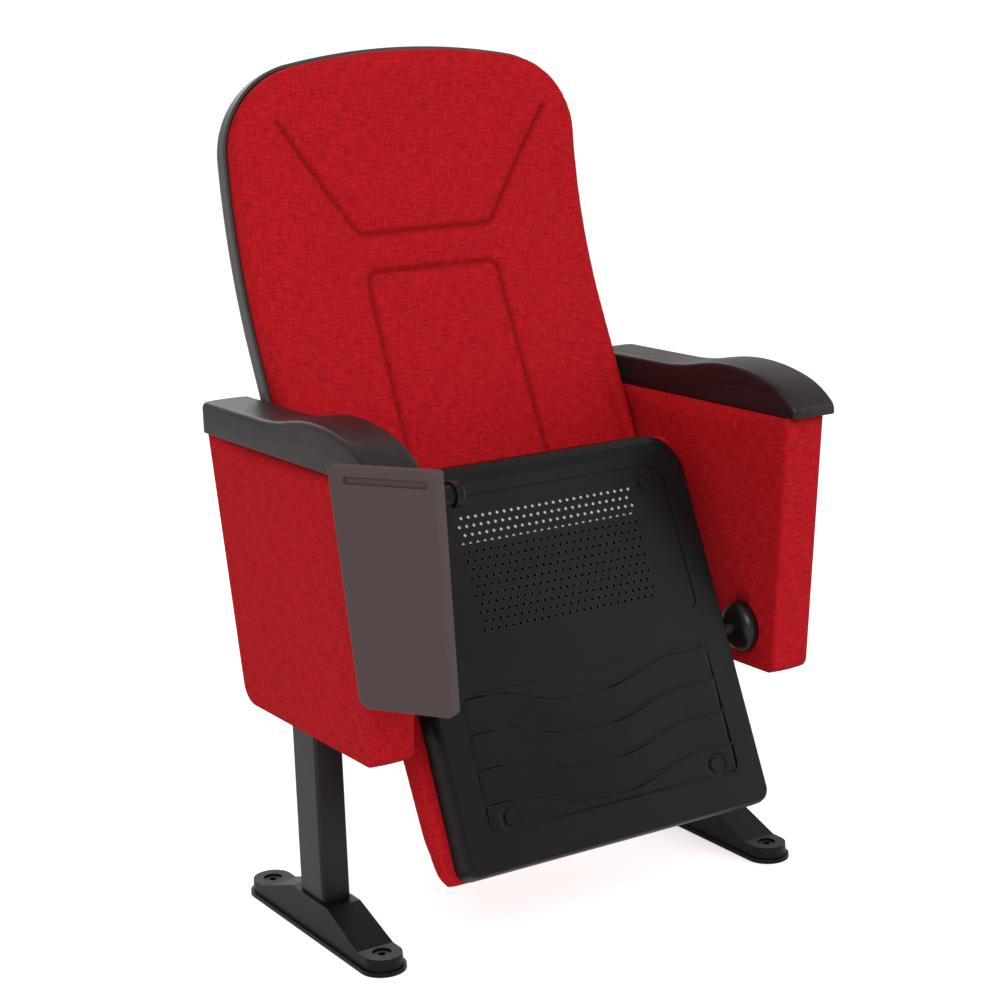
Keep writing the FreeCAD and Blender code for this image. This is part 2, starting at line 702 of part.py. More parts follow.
def wave_points(middle):
    """One louvre line: level at both ends, with a flat-bottomed dip between two bends."""
    dip = size("louvre_dip")
    half = size("recess_half_width") - 1
    return [
        (Vector(-half, middle, 0), Vector(-124, middle + 1, 0)),
        (Vector(-92, middle + dip * 0.5, 0), Vector(-56, middle + dip, 0)),
        (Vector(-20, middle + dip + 2, 0), Vector(18, middle + dip, 0)),
        (Vector(64, middle + dip * 0.55, 0), Vector(108, middle + 1, 0)),
        (Vector(140, middle, 0), Vector(half, middle, 0)),
    ]


def wave_line(middle):
    """The louvre line as one spline edge through its points."""
    points = []
    for first, second in wave_points(middle):
        points += [first, second]
    curve = Part.BSplineCurve()
    curve.interpolate(points)
    return curve


def louvre_lip(middle):
    """A raised lip along one louvre line."""
    low = wave_line(middle)
    high = wave_line(middle + size("louvre_lip"))
    edges = [
        low.toShape(),
        Part.makeLine(low.EndPoint, high.EndPoint),
        high.toShape(),
        Part.makeLine(high.StartPoint, low.StartPoint),
    ]
    floor_z = -size("pan_drop") + size("recess_depth")
    wire = Part.Wire(Part.__sortEdges__(edges))
    wire.translate(Z_AXIS * (floor_z - size("louvre_rise")))
    return Part.Face(wire).extrude(Z_AXIS * (size("louvre_rise") + 0.5))


def perforations():
    """Staggered square holes, each standing on its corner."""
    pins = []
    columns, rows = int(size("hole_columns")), int(size("hole_rows"))
    reach = size("hole_size") / math.sqrt(2)
    field_middle = (size("grille_front") + size("grille_rear")) / 2
    for row in range(rows):
        y = -(field_middle + (row - (rows - 1) / 2) * size("hole_row_pitch"))
        shift = size("hole_pitch") / 2 if row % 2 else 0
        for column in range(columns):
            x = (column - (columns - 1) / 2) * size("hole_pitch") + shift - size("hole_pitch") / 4
            corners = [(x + reach, y, 0), (x, y + reach, 0), (x - reach, y, 0), (x, y - reach, 0)]
            pins.append(Part.Face(wire_at(outline(corners), -size("pan_drop"))).extrude(Z_AXIS * 8))
    return Part.makeCompound(pins)


def plug_places():
    """The four screws of the pan, in the seat's own X and Y."""
    return [
        (side * size("plug_x"), y) for side in (-1, 1) for y in (-size("plug_front"), size("plug_rear"))
    ]


def make_seat_pan():
    """The moulded underside: a tub with a perforated field, a louvred field and screw bosses."""
    pan = pan_solid(0).cut(pan_solid(size("pan_wall")))
    low = -size("pan_drop")
    deep = low + size("recess_depth")
    grille = prism(field(size("grille_front"), size("grille_rear"), 26, 10), low - 1, deep)
    louvres = prism(field(size("louvre_front"), size("louvre_rear"), 14, 14), low - 1, deep)
    pan = pan.cut(grille).cut(louvres)
    lips = []
    for index in range(4):
        level = -size("louvre_front") + 3 + index * size("louvre_pitch")
        lips.append(louvre_lip(level))
    pan = pan.fuse(lips)
    bosses = []
    cuts = [perforations()]
    for x, y in plug_places():
        bosses.append(rod(Vector(x, y, low + 1), Z_AXIS, size("plug_radius") + 2.5, 5.5))
        bosses.append(
            rod(Vector(x, y, low + 4), Z_AXIS, 6, size("seat_board_bottom") - low - 4)
        )
        cuts.append(rod(Vector(x, y, low - 2), Z_AXIS, size("plug_radius") + size("soft_gap"), 4.5))
        cuts.append(rod(Vector(x, y, low), Z_AXIS, size("screw_head_radius") + size("screw_clearance"), 3.9))
        cuts.append(rod(Vector(x, y, low), Z_AXIS, size("screw_radius") + size("screw_clearance"), 30))
    pan = pan.fuse(bosses)
    notch = size("shaft_radius") + 1
    for _, side in SIDES:
        x = side * size("pan_half_width")
        cuts.append(rod(Vector(x - 20, 0, 0), X_AXIS, notch, 40))
        cuts.append(block(x - 20, -notch, 0, x + 20, notch, size("pan_rim") + 2))
    for cut in cuts:
        pan = pan.cut(cut)
    return feature("seat_pan", pan.removeSplitter(), seat_placement)


def make_pan_screws():
    """Four screws that hold the pan to the seat's plywood."""
    low = -size("pan_drop") + 1.9
    length = size("seat_board_bottom") - low + 6
    screws = []
    for x, y in plug_places():
        head = rod(Vector(x, y, low), Z_AXIS, size("screw_head_radius"), 2)
        screws.append(head.fuse(rod(Vector(x, y, low), Z_AXIS, size("screw_radius"), length)))
    return feature("pan_screws", Part.makeCompound(screws), seat_placement)


def make_pan_plugs():
    """Four round caps over the pan's screws."""
    plugs = []
    for x, y in plug_places():
        plugs.append(rod(Vector(x, y, -size("pan_drop") - 0.6), Z_AXIS, size("plug_radius"), 2.2))
    return feature("pan_plugs", Part.makeCompound(plugs), seat_placement)


def make_seat_board():
    """The plywood that the pan, the cushion and the hinge arms are fixed to."""
    half = size("hinge_inner_x")
    body, _ = pad_body(
        "seat_board", "XY_Plane",
        outline(
            [
                (-half, size("pan_rear") - 8, 12),
                (-half, -size("pan_front") + 12, 34),
                (half, -size("pan_front") + 12, 34),
                (half, size("pan_rear") - 8, 12),
            ]
        )
        + [circle(x, y, size("screw_radius")) for x, y in plug_places() + hinge_screw_places()],
        size("seat_board_bottom"), "Sizes.seat_board_thickness",
    )
    body.Placement = seat_placement
    return keep(body, "seat_board")


def hinge_screw_places():
    """Two screws through each hinge arm's flange."""
    x = size("hinge_inner_x") - size("hinge_flange") / 2
    reach = size("hinge_half_length") - 16
    return [(side * x, y) for side in (-1, 1) for y in (-reach, reach)]


def make_hinge_arm(name, side):
    """An angle of steel with a round eye that carries the stub shaft."""
    inner, plate = size("hinge_inner_x"), size("hinge_plate")
    start = side_start(side, inner, plate)
    top = size("seat_board_bottom")
    reach = size("hinge_half_length")
    upright = block(start, -reach, top - 11, start + plate, reach, top)
    eye = rod(Vector(start, 0, 0), X_AXIS, size("shaft_radius") + 5, plate)
    flange_start = side_start(side, inner - size("hinge_flange"), size("hinge_flange"))
    flange = block(flange_start, -reach, top - plate, flange_start + size("hinge_flange"), reach, top)
    shape = upright.fuse([eye, flange])
    shape = shape.cut(rod(Vector(start - 1, 0, 0), X_AXIS, size("shaft_radius"), plate + 2))
    hole = size("screw_radius") + size("screw_clearance")
    for x, y in hinge_screw_places():
        shape = shape.cut(rod(Vector(x, y, top - plate - 1), Z_AXIS, hole, plate + 2))
    return feature("hinge_arm_" + name, shape.removeSplitter(), seat_placement)


def make_hinge_screws():
    """Four screws that hold the hinge arms to the plywood."""
    level = size("seat_board_bottom") - size("hinge_plate")
    screws = [screw(Vector(x, y, level), Z_AXIS, 11) for x, y in hinge_screw_places()]
    return feature("hinge_screws", Part.makeCompound(screws), seat_placement)


def make_pivot_shaft(name, side):
    """The stub shaft: welded in the hinge arm's eye, turning in the bush."""
    start = size("hinge_inner_x")
    end = post_inner_x - 0.5
    shaft = rod(Vector(side * start, 0, 0), X_AXIS * side, size("shaft_radius"), end - start)
    return feature("pivot_shaft_" + name, shaft, seat_placement)


def crowned_section(y, half, low, side_top, crown_top, bulge):
    """A cushion's cross section: flat below, drawn-in sides and a crowned top."""
    a, b = Vector(-half, y, low), Vector(half, y, low)
    c, d = Vector(half, y, side_top), Vector(-half, y, side_top)
    middle = (low + side_top) / 2
    return Part.Wire(
        [
            Part.makeLine(a, b),
            Part.Arc(b, Vector(half + bulge, y, middle), c).toShape(),
            Part.Arc(c, Vector(0, y, crown_top), d).toShape(),
            Part.Arc(d, Vector(-half - bulge, y, middle), a).toShape(),
        ]
    )


def make_seat_cushion():
    """The upholstered seat: thicker toward the knees, crowned, with rounded ends."""
    low = size("seat_board_bottom") + size("seat_board_thickness")
    front, rear = -size("pan_front") + 1, size("pan_rear") + 1
    half, tall, crown = size("seat_half_width"), size("seat_thickness"), size("seat_crown")
    stations = [
        (rear, -8, tall * 0.42, 3),
        (rear - 10, -3, tall * 0.54, 6),
        (rear - 60, -1, tall * 0.86, crown),
        (0, -1.5, tall, crown),
        (front + 90, -1, tall * 1.06, crown),
        (front + 26, -3, tall * 0.98, crown * 0.8),
        (front + 8, -7, tall * 0.72, 6),
        (front, -16, tall * 0.42, 3),
    ]
    wires = []
    for y, grow, top, rise in stations:
        wires.append(crowned_section(y, half + grow, low, low + top - rise, low + top, 1))
    cushion = Part.makeLoft(wires, True, True)
    pocket = size("shaft_radius") + 5.5
    width = size("hinge_plate") + 1
    for _, side in SIDES:
        start = side_start(side, size("hinge_inner_x") - 0.5, width)
        cushion = cushion.cut(rod(Vector(start, 0, 0), X_AXIS, pocket, width))
    return feature("seat_cushion", cushion, seat_placement)


def back_outline(grow=0.0):
    """The back seen from the front, as (x, height above the floor, radius)."""
    low, waist = size("back_low_z") - grow, size("back_waist_z")
    shoulder, top = size("back_shoulder_z") + grow, size("back_top_z") + grow
    half_low, half = size("back_half_low") + grow, size("back_half_high") + grow
    corner = size("back_corner") + grow
    return [
        (-half_low, low, 18),
        (half_low, low, 18),
        (half, waist, 120),
        (half, shoulder, corner),
        (0, top, size("back_top_radius")),
        (-half, shoulder, corner),
        (-half, waist, 120),
    ]


def back_prism(grow=0.0):
    """The back's outline run from front to rear, a little downward, in the back's own frame."""
    length = 700
    recede = math.radians(size("back_recede"))
    face = Part.Face(wire_at(outline(back_outline(grow)), 0))
    face.rotate(Vector(0, 0, 0), X_AXIS, 90)
    run = Vector(0, math.cos(recede), -math.sin(recede))
    leans = math.radians(size("back_lean")), math.radians(size("back_top_lean"))
    top_y = size("back_bend_y") + size("back_bend_radius") * (math.cos(leans[1]) - math.cos(leans[0]))
    face.translate(Y_AXIS * top_y - run * (length / 2))
    slab = face.extrude(run * length)
    slab.Placement = back_placement.inverse().multiply(slab.Placement)
    return slab


def back_line(depth):
    """Side view of the back at a depth behind its front: the straight part, the bend, the top."""
    radius = size("back_bend_radius")
    sweep = math.radians(size("back_lean") - size("back_top_lean"))

    def on_bend(angle):
        reach = radius + depth
        return Vector(0, reach * math.cos(angle) - radius, reach * math.sin(angle))

    end = on_bend(sweep)
    low = Vector(0, depth, -360)
    high = end + Vector(0, -math.sin(sweep), math.cos(sweep)) * 180
    bend = Part.Arc(on_bend(0), on_bend(sweep / 2), end).toShape()
    return [Part.makeLine(low, on_bend(0)), bend, Part.makeLine(end, high)], low, high


def back_band(front, rear):
    """Everything between two depths behind the back's front."""
    fore, fore_low, fore_high = back_line(front)
    aft, aft_low, aft_high = back_line(rear)
    edges = fore + [Part.makeLine(fore_high, aft_high)] + aft + [Part.makeLine(aft_low, fore_low)]
    face = Part.Face(Part.Wire(Part.__sortEdges__(edges)))
    face.translate(X_AXIS * -300)
    return face.extrude(X_AXIS * 600)


def back_slab(front, rear, grow=0.0):
    """The back's outline between two depths behind its front."""
    return back_band(front, rear).common(back_prism(grow))


def rounded_rim(shape, depth, radius):
    """Rounds the edge that runs round a back slab at one depth."""
    sheet = back_band(depth - 0.02, depth + 0.02)
    rim = []
    for edge in shape.Edges:
        ends = [edge.valueAt(edge.FirstParameter), edge.valueAt(edge.LastParameter)]
        middle = edge.valueAt((edge.FirstParameter + edge.LastParameter) / 2)
        inner = abs(middle.x) < 1 and abs(ends[0].x) > 50 and middle.z > -200 and middle.z < 240
        if not inner and all(sheet.isInside(point, 0.01, True) for point in ends + [middle]):
            rim.append(edge)
    return shape.makeFillet(radius, rim)


def channel_band(points, closed=False):
    """A band along sewn lines, standing through the cushion's front."""
    half = size("channel_width") / 2
    bands = []
    pairs = list(zip(points, points[1:] + points[:1])) if closed else list(zip(points, points[1:]))
    for (x0, z0), (x1, z1) in pairs:
        run = Vector(x1 - x0, 0, z1 - z0)
        across = run.cross(Y_AXIS).normalize() * half
        along = Vector(run).normalize() * half
        start, end = Vector(x0, -80, z0) - along, Vector(x1, -80, z1) + along
        loop = Part.makePolygon([start + across, end + across, end - across, start - across, start + across])
        bands.append(Part.Face(loop).extrude(Y_AXIS * 110))
    return bands


def seam_point(x, height):
    """A place on the back's front at a height above the floor, in the back's own frame."""
    radius = size("back_bend_radius")
    lean = math.radians(size("back_lean"))
    rise = height - size("back_bend_z")
    if rise < 0:
        return x, rise / math.cos(lean)
    angle = lean - math.asin(math.sin(lean) - rise / radius)
    return x, radius * math.sin(angle)


def make_back_cushion():
    """The back cushion: bent, with rounded edges and the sewn yoke and lumbar channels."""
    depth = size("back_thickness")
    cushion = rounded_rim(back_slab(0, depth), 0, size("back_softness"))
    inner = back_band(size("channel_depth"), depth + 5)
    yoke = [(-181, 910), (-92, 780), (92, 780), (181, 910)]
    lumbar = [(-95, 470), (-91, 720), (-78, 735), (78, 735), (91, 720), (95, 470)]
    for line in (yoke, lumbar):
        for band in channel_band([seam_point(x, height) for x, height in line]):
            cushion = cushion.cut(band.cut(inner))
    return feature("back_cushion", cushion.removeSplitter(), back_placement)


def make_back_board():
    """The plywood behind the back cushion, pressed to the same bend."""
    front = size("back_thickness")
    board = back_slab(front, front + size("back_board_thickness"), -7)
    for x, z in back_board_screws():
        board = board.cut(rod(Vector(x, front - 1, z), Y_AXIS, size("screw_radius"), 20))
    return feature("back_board", board.removeSplitter(), back_placement)


def shell_rear():
    """Depth of the shell's rear face."""
    return size("shell_rim") + size("shell_depth")


def make_back_shell():
    """The moulded rear shell: a bent tray round the cushion's edge with rounded rear corners."""
    rim, rear, wall = size("shell_rim"), shell_rear(), size("shell_wall")
    board_rear = size("back_thickness") + size("back_board_thickness")
    outer = rounded_rim(back_slab(rim, rear, wall + size("soft_gap")), rear, 12)
    shell = outer.cut(back_slab(rim - 1, board_rear - 3, size("soft_gap")))
    shell = shell.cut(back_slab(board_rear - 4, rear - wall, -6.5))
    bores = []
    for x, z in back_board_screws():
        boss = rod(Vector(x, board_rear, z), Y_AXIS, 8, rear - wall - board_rear + 0.5)
        shell = shell.fuse(boss)
        hole = size("screw_radius") + size("screw_clearance")
        bores.append(rod(Vector(x, board_rear - 1, z), Y_AXIS, hole, 40))
    return feature("back_shell", shell.cut(Part.makeCompound(bores)).removeSplitter(), back_placement)


def back_board_screws():
    """The bracket's screws through the shell into the back's plywood, as (x, height)."""
    x = size("panel_inner_x") - size("bracket_leg") + 12
    return [(side * x, level) for side in (-1, 1) for level in bracket_screw_levels]


def make_back_bracket(name, side):
    """An angle: one leg on the panel's inner face, the other behind the shell."""
    thick = size("bracket_thickness")
    middle = sum(bracket_screw_levels) / len(bracket_screw_levels)
    low, high = middle - size("bracket_height") / 2, middle + size("bracket_height") / 2
    outer = size("panel_inner_x")
    rear = shell_rear()
    start = side_start(side, outer - thick, thick)
    leg = block(start, 6, low, start + thick, rear + thick, high)
    leg_start = side_start(side, outer - size("bracket_leg"), size("bracket_leg"))
    back_leg = block(leg_start, rear, low, leg_start + size("bracket_leg"), rear + thick, high)
    shape = leg.fuse(back_leg)
    hole = size("screw_radius") + size("screw_clearance")
    for level in bracket_screw_levels:
        shape = shape.cut(rod(Vector(start - 1, 18, level), X_AXIS, hole, thick + 2))
    for x, z in back_board_screws():
        shape = shape.cut(rod(Vector(x, rear - 1, z), Y_AXIS, hole, thick + 2))
    return feature("back_bracket_" + name, shape.removeSplitter(), back_placement)


def make_bracket_screws():
    """The screws of both back brackets."""
    screws = []
    outer = size("panel_inner_x") - size("bracket_thickness")
    head = 1.6
    for _, side in SIDES:
        axis = X_AXIS * side
        for level in bracket_screw_levels:
            point = Vector(side * outer, 18, level)
            screws.append(
                rod(point - axis * head, axis, size("screw_head_radius"), head).fuse(
                    rod(point, axis, size("screw_radius"), 12)
                )
            )
    for x, z in back_board_screws():
        point = Vector(x, shell_rear() + size("bracket_thickness"), z)
        screws.append(screw(point, Y_AXIS * -1, size("bracket_thickness") + size("shell_depth") - 10))
    return feature("bracket_screws", Part.makeCompound(screws), back_placement)


def tablet_screw_points():
    """Where the tablet arm is bolted to the left side plate, in Y and Z."""
    return [(y, tablet_arm_level(y)) for y in tablet_screw_places]


def tablet_arm_level(y):
    """Height of the tablet arm's middle line."""
    drop = 13
    return lift_z - drop * (y - size("lift_y")) / size("tablet_arm_length")


def make_tablet_arm():
    """The cast arm on the left panel's inner face, with a round eye before the armrest."""
    rear_y = size("lift_y") + size("tablet_arm_length")
    rear_radius = 13
    eye = size("lift_eye_radius")
    front, rear = Vector(size("lift_y"), lift_z, 0), Vector(rear_y, tablet_arm_level(rear_y), 0)
    along = (rear - front).normalize()
    across = Vector(-along.y, along.x, 0)
    profile = [
        Part.LineSegment(front + across * eye, rear + across * rear_radius),
        Part.Arc(rear + across * rear_radius, rear + along * rear_radius, rear - across * rear_radius),
        Part.LineSegment(rear - across * rear_radius, front - across * eye),
        Part.Arc(front - across * eye, front - along * eye, front + across * eye),
        circle(front.x, front.y, size("lift_pin_radius") + size("running_fit")),
    ]
    hole = size("screw_radius") + size("screw_clearance")
    profile += [circle(y, z, hole) for y, z in tablet_screw_points()]
    body, _ = pad_body("tablet_arm", "YZ_Plane", profile, -size("panel_inner_x"), "Sizes.tablet_arm_thickness")
    return keep(body, "tablet_arm")


def make_tablet_arm_screws():
    """Two screws through the tablet arm into the side plate."""
    x = -size("panel_inner_x") + size("tablet_arm_thickness")
    screws = [screw(Vector(x, y, z), X_AXIS * -1, 20) for y, z in tablet_screw_points()]
    return feature("tablet_arm_screws", Part.makeCompound(screws))


def make_lift_pin():
    """The tablet's lift pin, headed on the inner side of the arm."""
    arm = size("tablet_arm_thickness")
    pin = rod(Vector(arm, 0, 0), X_AXIS * -1, size("lift_pin_radius"), arm + 14)
    head = rod(Vector(arm + 0.3, 0, 0), X_AXIS, 9, 3.5)
    neck = rod(Vector(arm - 0.1, 0, 0), X_AXIS, size("lift_pin_radius"), 0.5)
    socket = Part.makePolygon(
        [Vector(arm + 1.8, 4 * math.cos(a), 4 * math.sin(a)) for a in [math.radians(60 * k) for k in range(7)]]
    )
    shape = pin.fuse([head, neck]).cut(Part.Face(socket).extrude(X_AXIS * 3))
    return feature("tablet_lift_pin", shape.removeSplitter(), lift_placement)


def barrel_levels():
    """Ends of the knuckle's barrel and of the leaf's two eyes, from the lift axis down."""
    return (12, -8), (-8.4, -52), (-52.4, -72)


def make_knuckle():
    """The knuckle between the two tablet axes: a disc on the pin and an upright barrel."""
    gap = 0.4
    x, y = size("turn_offset_x"), size("turn_offset_y")
    high, low = barrel_levels()[1]
    disc = rod(Vector(-gap, 0, 0), X_AXIS * -1, 10.5, 13)
    web = block(x, y - 3, low + 12, -gap - 1, 6, high)
    web = web.cut(rod(Vector(x, y, low), Z_AXIS, size("barrel_radius") - 1, high - low))
    barrel = rod(Vector(x, y, low), Z_AXIS, size("barrel_radius"), high - low)
    shape = disc.fuse([web, barrel])
    shape = shape.cut(rod(Vector(1, 0, 0), X_AXIS * -1, size("lift_pin_radius"), 40))
    eyes = barrel_levels()
    bore = rod(Vector(x, y, eyes[2][1]), Z_AXIS, size("turn_pin_radius") + size("running_fit"), 100)
    shape = shape.cut(bore)
    clear = size("barrel_radius") + 1
    for top, bottom in (eyes[0], eyes[2]):
        shape = shape.cut(rod(Vector(x, y, bottom - 0.1), Z_AXIS, clear, top - bottom + 0.4))
    return feature("tablet_knuckle", shape.removeSplitter(), lift_placement)


def make_turn_pin():
    """The pin of the tablet's upright hinge."""
    low, high = barrel_levels()[2][1], barrel_levels()[0][0]
    pin = rod(Vector(0, 0, low), Z_AXIS, size("turn_pin_radius"), high - low)
    return feature("tablet_turn_pin", pin, turn_placement)


def make_hinge_leaf():
    """The leaf screwed to the back of the tablet, with two eyes on the upright pin."""
    back = -size("tablet_gap")
    leaf = block(-36, back, -86, 14, back + 3, 24)
    shape = leaf
    for top, bottom in (barrel_levels()[0], barrel_levels()[2]):
        eye = rod(Vector(0, 0, bottom), Z_AXIS, size("barrel_radius"), top - bottom)
        web = block(-5, back + 1, bottom, 5, -2, top)
        shape = shape.fuse([eye, web])
    shape = shape.cut(rod(Vector(0, 0, -100), Z_AXIS, size("turn_pin_radius"), 200))
    for x, z in leaf_screws():
        shape = shape.cut(
            rod(Vector(x, back - 1, z), Y_AXIS, size("screw_radius") - 0.8, 6)
        )
    return feature("tablet_hinge_leaf", shape.removeSplitter(), turn_placement)


def leaf_screws():
    """The hinge leaf's four screws, as (x, height)."""
    return [(x, z) for x in (-27, 5) for z in (-77.5, 17.5)]


def make_leaf_screws():
    """Four short screws from the leaf into the tablet."""
    back = -size("tablet_gap") + 3
    radius = size("screw_radius") - 1
    screws = []
    for x, z in leaf_screws():
        head = rod(Vector(x, back + 1.6, z), Y_AXIS * -1, 3.8, 1.6)
        screws.append(head.fuse(rod(Vector(x, back + 0.5, z), Y_AXIS * -1, radius, 13)))
    return feature("tablet_leaf_screws", Part.makeCompound(screws), turn_placement)


def make_tablet():
    """The writing tablet: a tapered board with rounded lower corners and a pen groove."""
    top, length = size("tablet_top"), size("tablet_length")
    left, right = -size("tablet_left"), size("tablet_right")
    corners = [
        (left, top, 4),
        (left + size("tablet_taper_left"), top - length, size("tablet_corner")),
        (right + size("tablet_flare_right"), top - length, size("tablet_corner") * 0.6),
        (right, top, 4),
    ]
    front = -size("tablet_gap") - size("tablet_thickness")

    def layer(depth, inset):
        grown = [(x + inset * (1 if x < 0 else -1), z + inset * (1 if z < 0 else -1), r) for x, z, r in corners]
        wire = wire_at(outline(grown), -depth)
        wire.rotate(Vector(0, 0, 0), X_AXIS, 90)
        return wire

    rear = -size("tablet_gap")
    ease = 2.5
    board = Part.makeLoft(
        [layer(front, ease), layer(front + ease, 0), layer(rear - ease, 0), layer(rear, ease)], True, True
    )
    groove_z = top - size("groove_inset")
    groove_front = front + size("groove_depth")
    half = size("groove_width") / 2
    groove = outline(slab_corners(left + 20, groove_z - half, right - 10, groove_z + half, half - 0.5))
    cutter = prism(groove, 0, 20)
    cutter.rotate(Vector(0, 0, 0), X_AXIS, 90)
    cutter.translate(Y_AXIS * groove_front)
    board = board.cut(cutter)
    for x, z in leaf_screws():
        board = board.cut(rod(Vector(x, rear + 1, z), Y_AXIS * -1, size("screw_radius") - 1, 12))
    return feature("tablet_board", board, turn_placement)


def build():
    """Makes every sub-part."""
    for name, side in SIDES:
        make_foot(name, side)
        make_post(name, side)
        make_side_plate(name, side)
        make_outer_board(name, side)
        make_side_cover(name, side)
        make_arm_rail(name, side)
        make_armrest(name, side)
        make_pivot_bush(name, side)
        make_spring_housing(name, side)
        make_return_spring(name, side)
        make_hinge_arm(name, side)
        make_pivot_shaft(name, side)
        make_back_bracket(name, side)
    make_arm_screws()
    make_seat_pan()
    make_pan_screws()
    make_pan_plugs()
    make_seat_board()
    make_hinge_screws()
    make_seat_cushion()
    make_back_cushion()
    make_back_board()
    make_back_shell()
    make_bracket_screws()
    make_tablet_arm()
    make_tablet_arm_screws()
    make_lift_pin()
    make_knuckle()
    make_turn_pin()
    make_hinge_leaf()
    make_leaf_screws()
    make_tablet()
    doc.recompute()


def write_out():
    """Checks every object and writes each sub-part to its own file."""
    for item in doc.Objects:
        if "Invalid" in item.State or "Error" in item.State:
            raise ValueError("%s failed to build" % item.Name)
    os.makedirs("parts", exist_ok=True)
    for item in made:
        if item.Shape.isNull() or not item.Shape.isValid():
            raise ValueError("%s has no valid shape" % item.Label)
        item.Shape.exportStep(os.path.join("parts", item.Label + ".step"))


build()
write_out()
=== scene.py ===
"""A tip-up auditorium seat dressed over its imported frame.

Every length is in metres, in the frame's own axes: +Z up, the sitter faces -Y, the origin lies on
the floor between the four floor bolts. Each class builds one sub-assembly of the seat.
"""

import json
import logging
import math
from dataclasses import dataclass
from enum import Enum
from typing import Any, Optional, Sequence, Union

import bmesh
import bpy
import numpy as np
from mathutils import Matrix, Vector

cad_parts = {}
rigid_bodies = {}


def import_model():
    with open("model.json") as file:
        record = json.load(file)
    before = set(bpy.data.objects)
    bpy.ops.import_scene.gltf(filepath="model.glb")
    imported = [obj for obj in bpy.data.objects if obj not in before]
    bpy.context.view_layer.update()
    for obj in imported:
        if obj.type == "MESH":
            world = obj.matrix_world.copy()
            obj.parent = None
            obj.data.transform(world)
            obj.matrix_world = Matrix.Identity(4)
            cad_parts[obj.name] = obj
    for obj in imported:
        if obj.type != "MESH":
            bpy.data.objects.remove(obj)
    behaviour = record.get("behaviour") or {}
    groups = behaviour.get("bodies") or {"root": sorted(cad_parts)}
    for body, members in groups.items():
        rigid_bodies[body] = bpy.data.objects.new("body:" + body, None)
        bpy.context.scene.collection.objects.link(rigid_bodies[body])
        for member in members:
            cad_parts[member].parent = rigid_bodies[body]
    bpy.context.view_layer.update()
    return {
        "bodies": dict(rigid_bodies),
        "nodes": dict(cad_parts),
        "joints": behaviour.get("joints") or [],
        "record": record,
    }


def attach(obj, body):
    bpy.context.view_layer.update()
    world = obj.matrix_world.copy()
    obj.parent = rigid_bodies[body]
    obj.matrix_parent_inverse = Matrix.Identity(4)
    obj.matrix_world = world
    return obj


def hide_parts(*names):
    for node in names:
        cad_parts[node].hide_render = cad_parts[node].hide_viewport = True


LOG = logging.getLogger("seat")
SIDES = (("left", -1.0), ("right", 1.0))



# Shader helpers


class Tone:
    """A shader socket that arithmetic works on, adding one Math node for each operation."""

    def __init__(self, maker: "Finish", socket: Any) -> None:
        """Wraps a socket of a finish's node tree."""
        self.maker = maker
        self.socket = socket

    def _math(self, operation: str, *values: Any, clamp: bool = False) -> "Tone":
        """Adds a Math node."""
        return self.maker.node("ShaderNodeMath", {"operation": operation, "use_clamp": clamp}, list(values))

    def __add__(self, other: Any) -> "Tone":
        """This plus the other."""
        return self._math("ADD", self, other)

    __radd__ = __add__

    def __sub__(self, other: Any) -> "Tone":
        """This less the other."""
        return self._math("SUBTRACT", self, other)

    def __rsub__(self, other: Any) -> "Tone":
        """The other less this."""
        return self._math("SUBTRACT", other, self)

    def __mul__(self, other: Any) -> "Tone":
        """This times the other."""
        return self._math("MULTIPLY", self, other)

    __rmul__ = __mul__

    def power(self, exponent: Any) -> "Tone":
        """This raised to an exponent."""
        return self._math("POWER", self, exponent)

    def sine(self) -> "Tone":
        """The sine of this."""
        return self._math("SINE", self)

    def clamped(self) -> "Tone":
        """This kept from 0 to 1."""
        return self._math("ADD", self, 0.0, clamp=True)

    def above(self, edge: float, soft: float) -> "Tone":
        """A smooth mask of where this is over an edge."""
        return self._math("MULTIPLY_ADD", self - edge, 0.5 / soft, 0.5, clamp=True)


Colour = tuple[float, float, float]


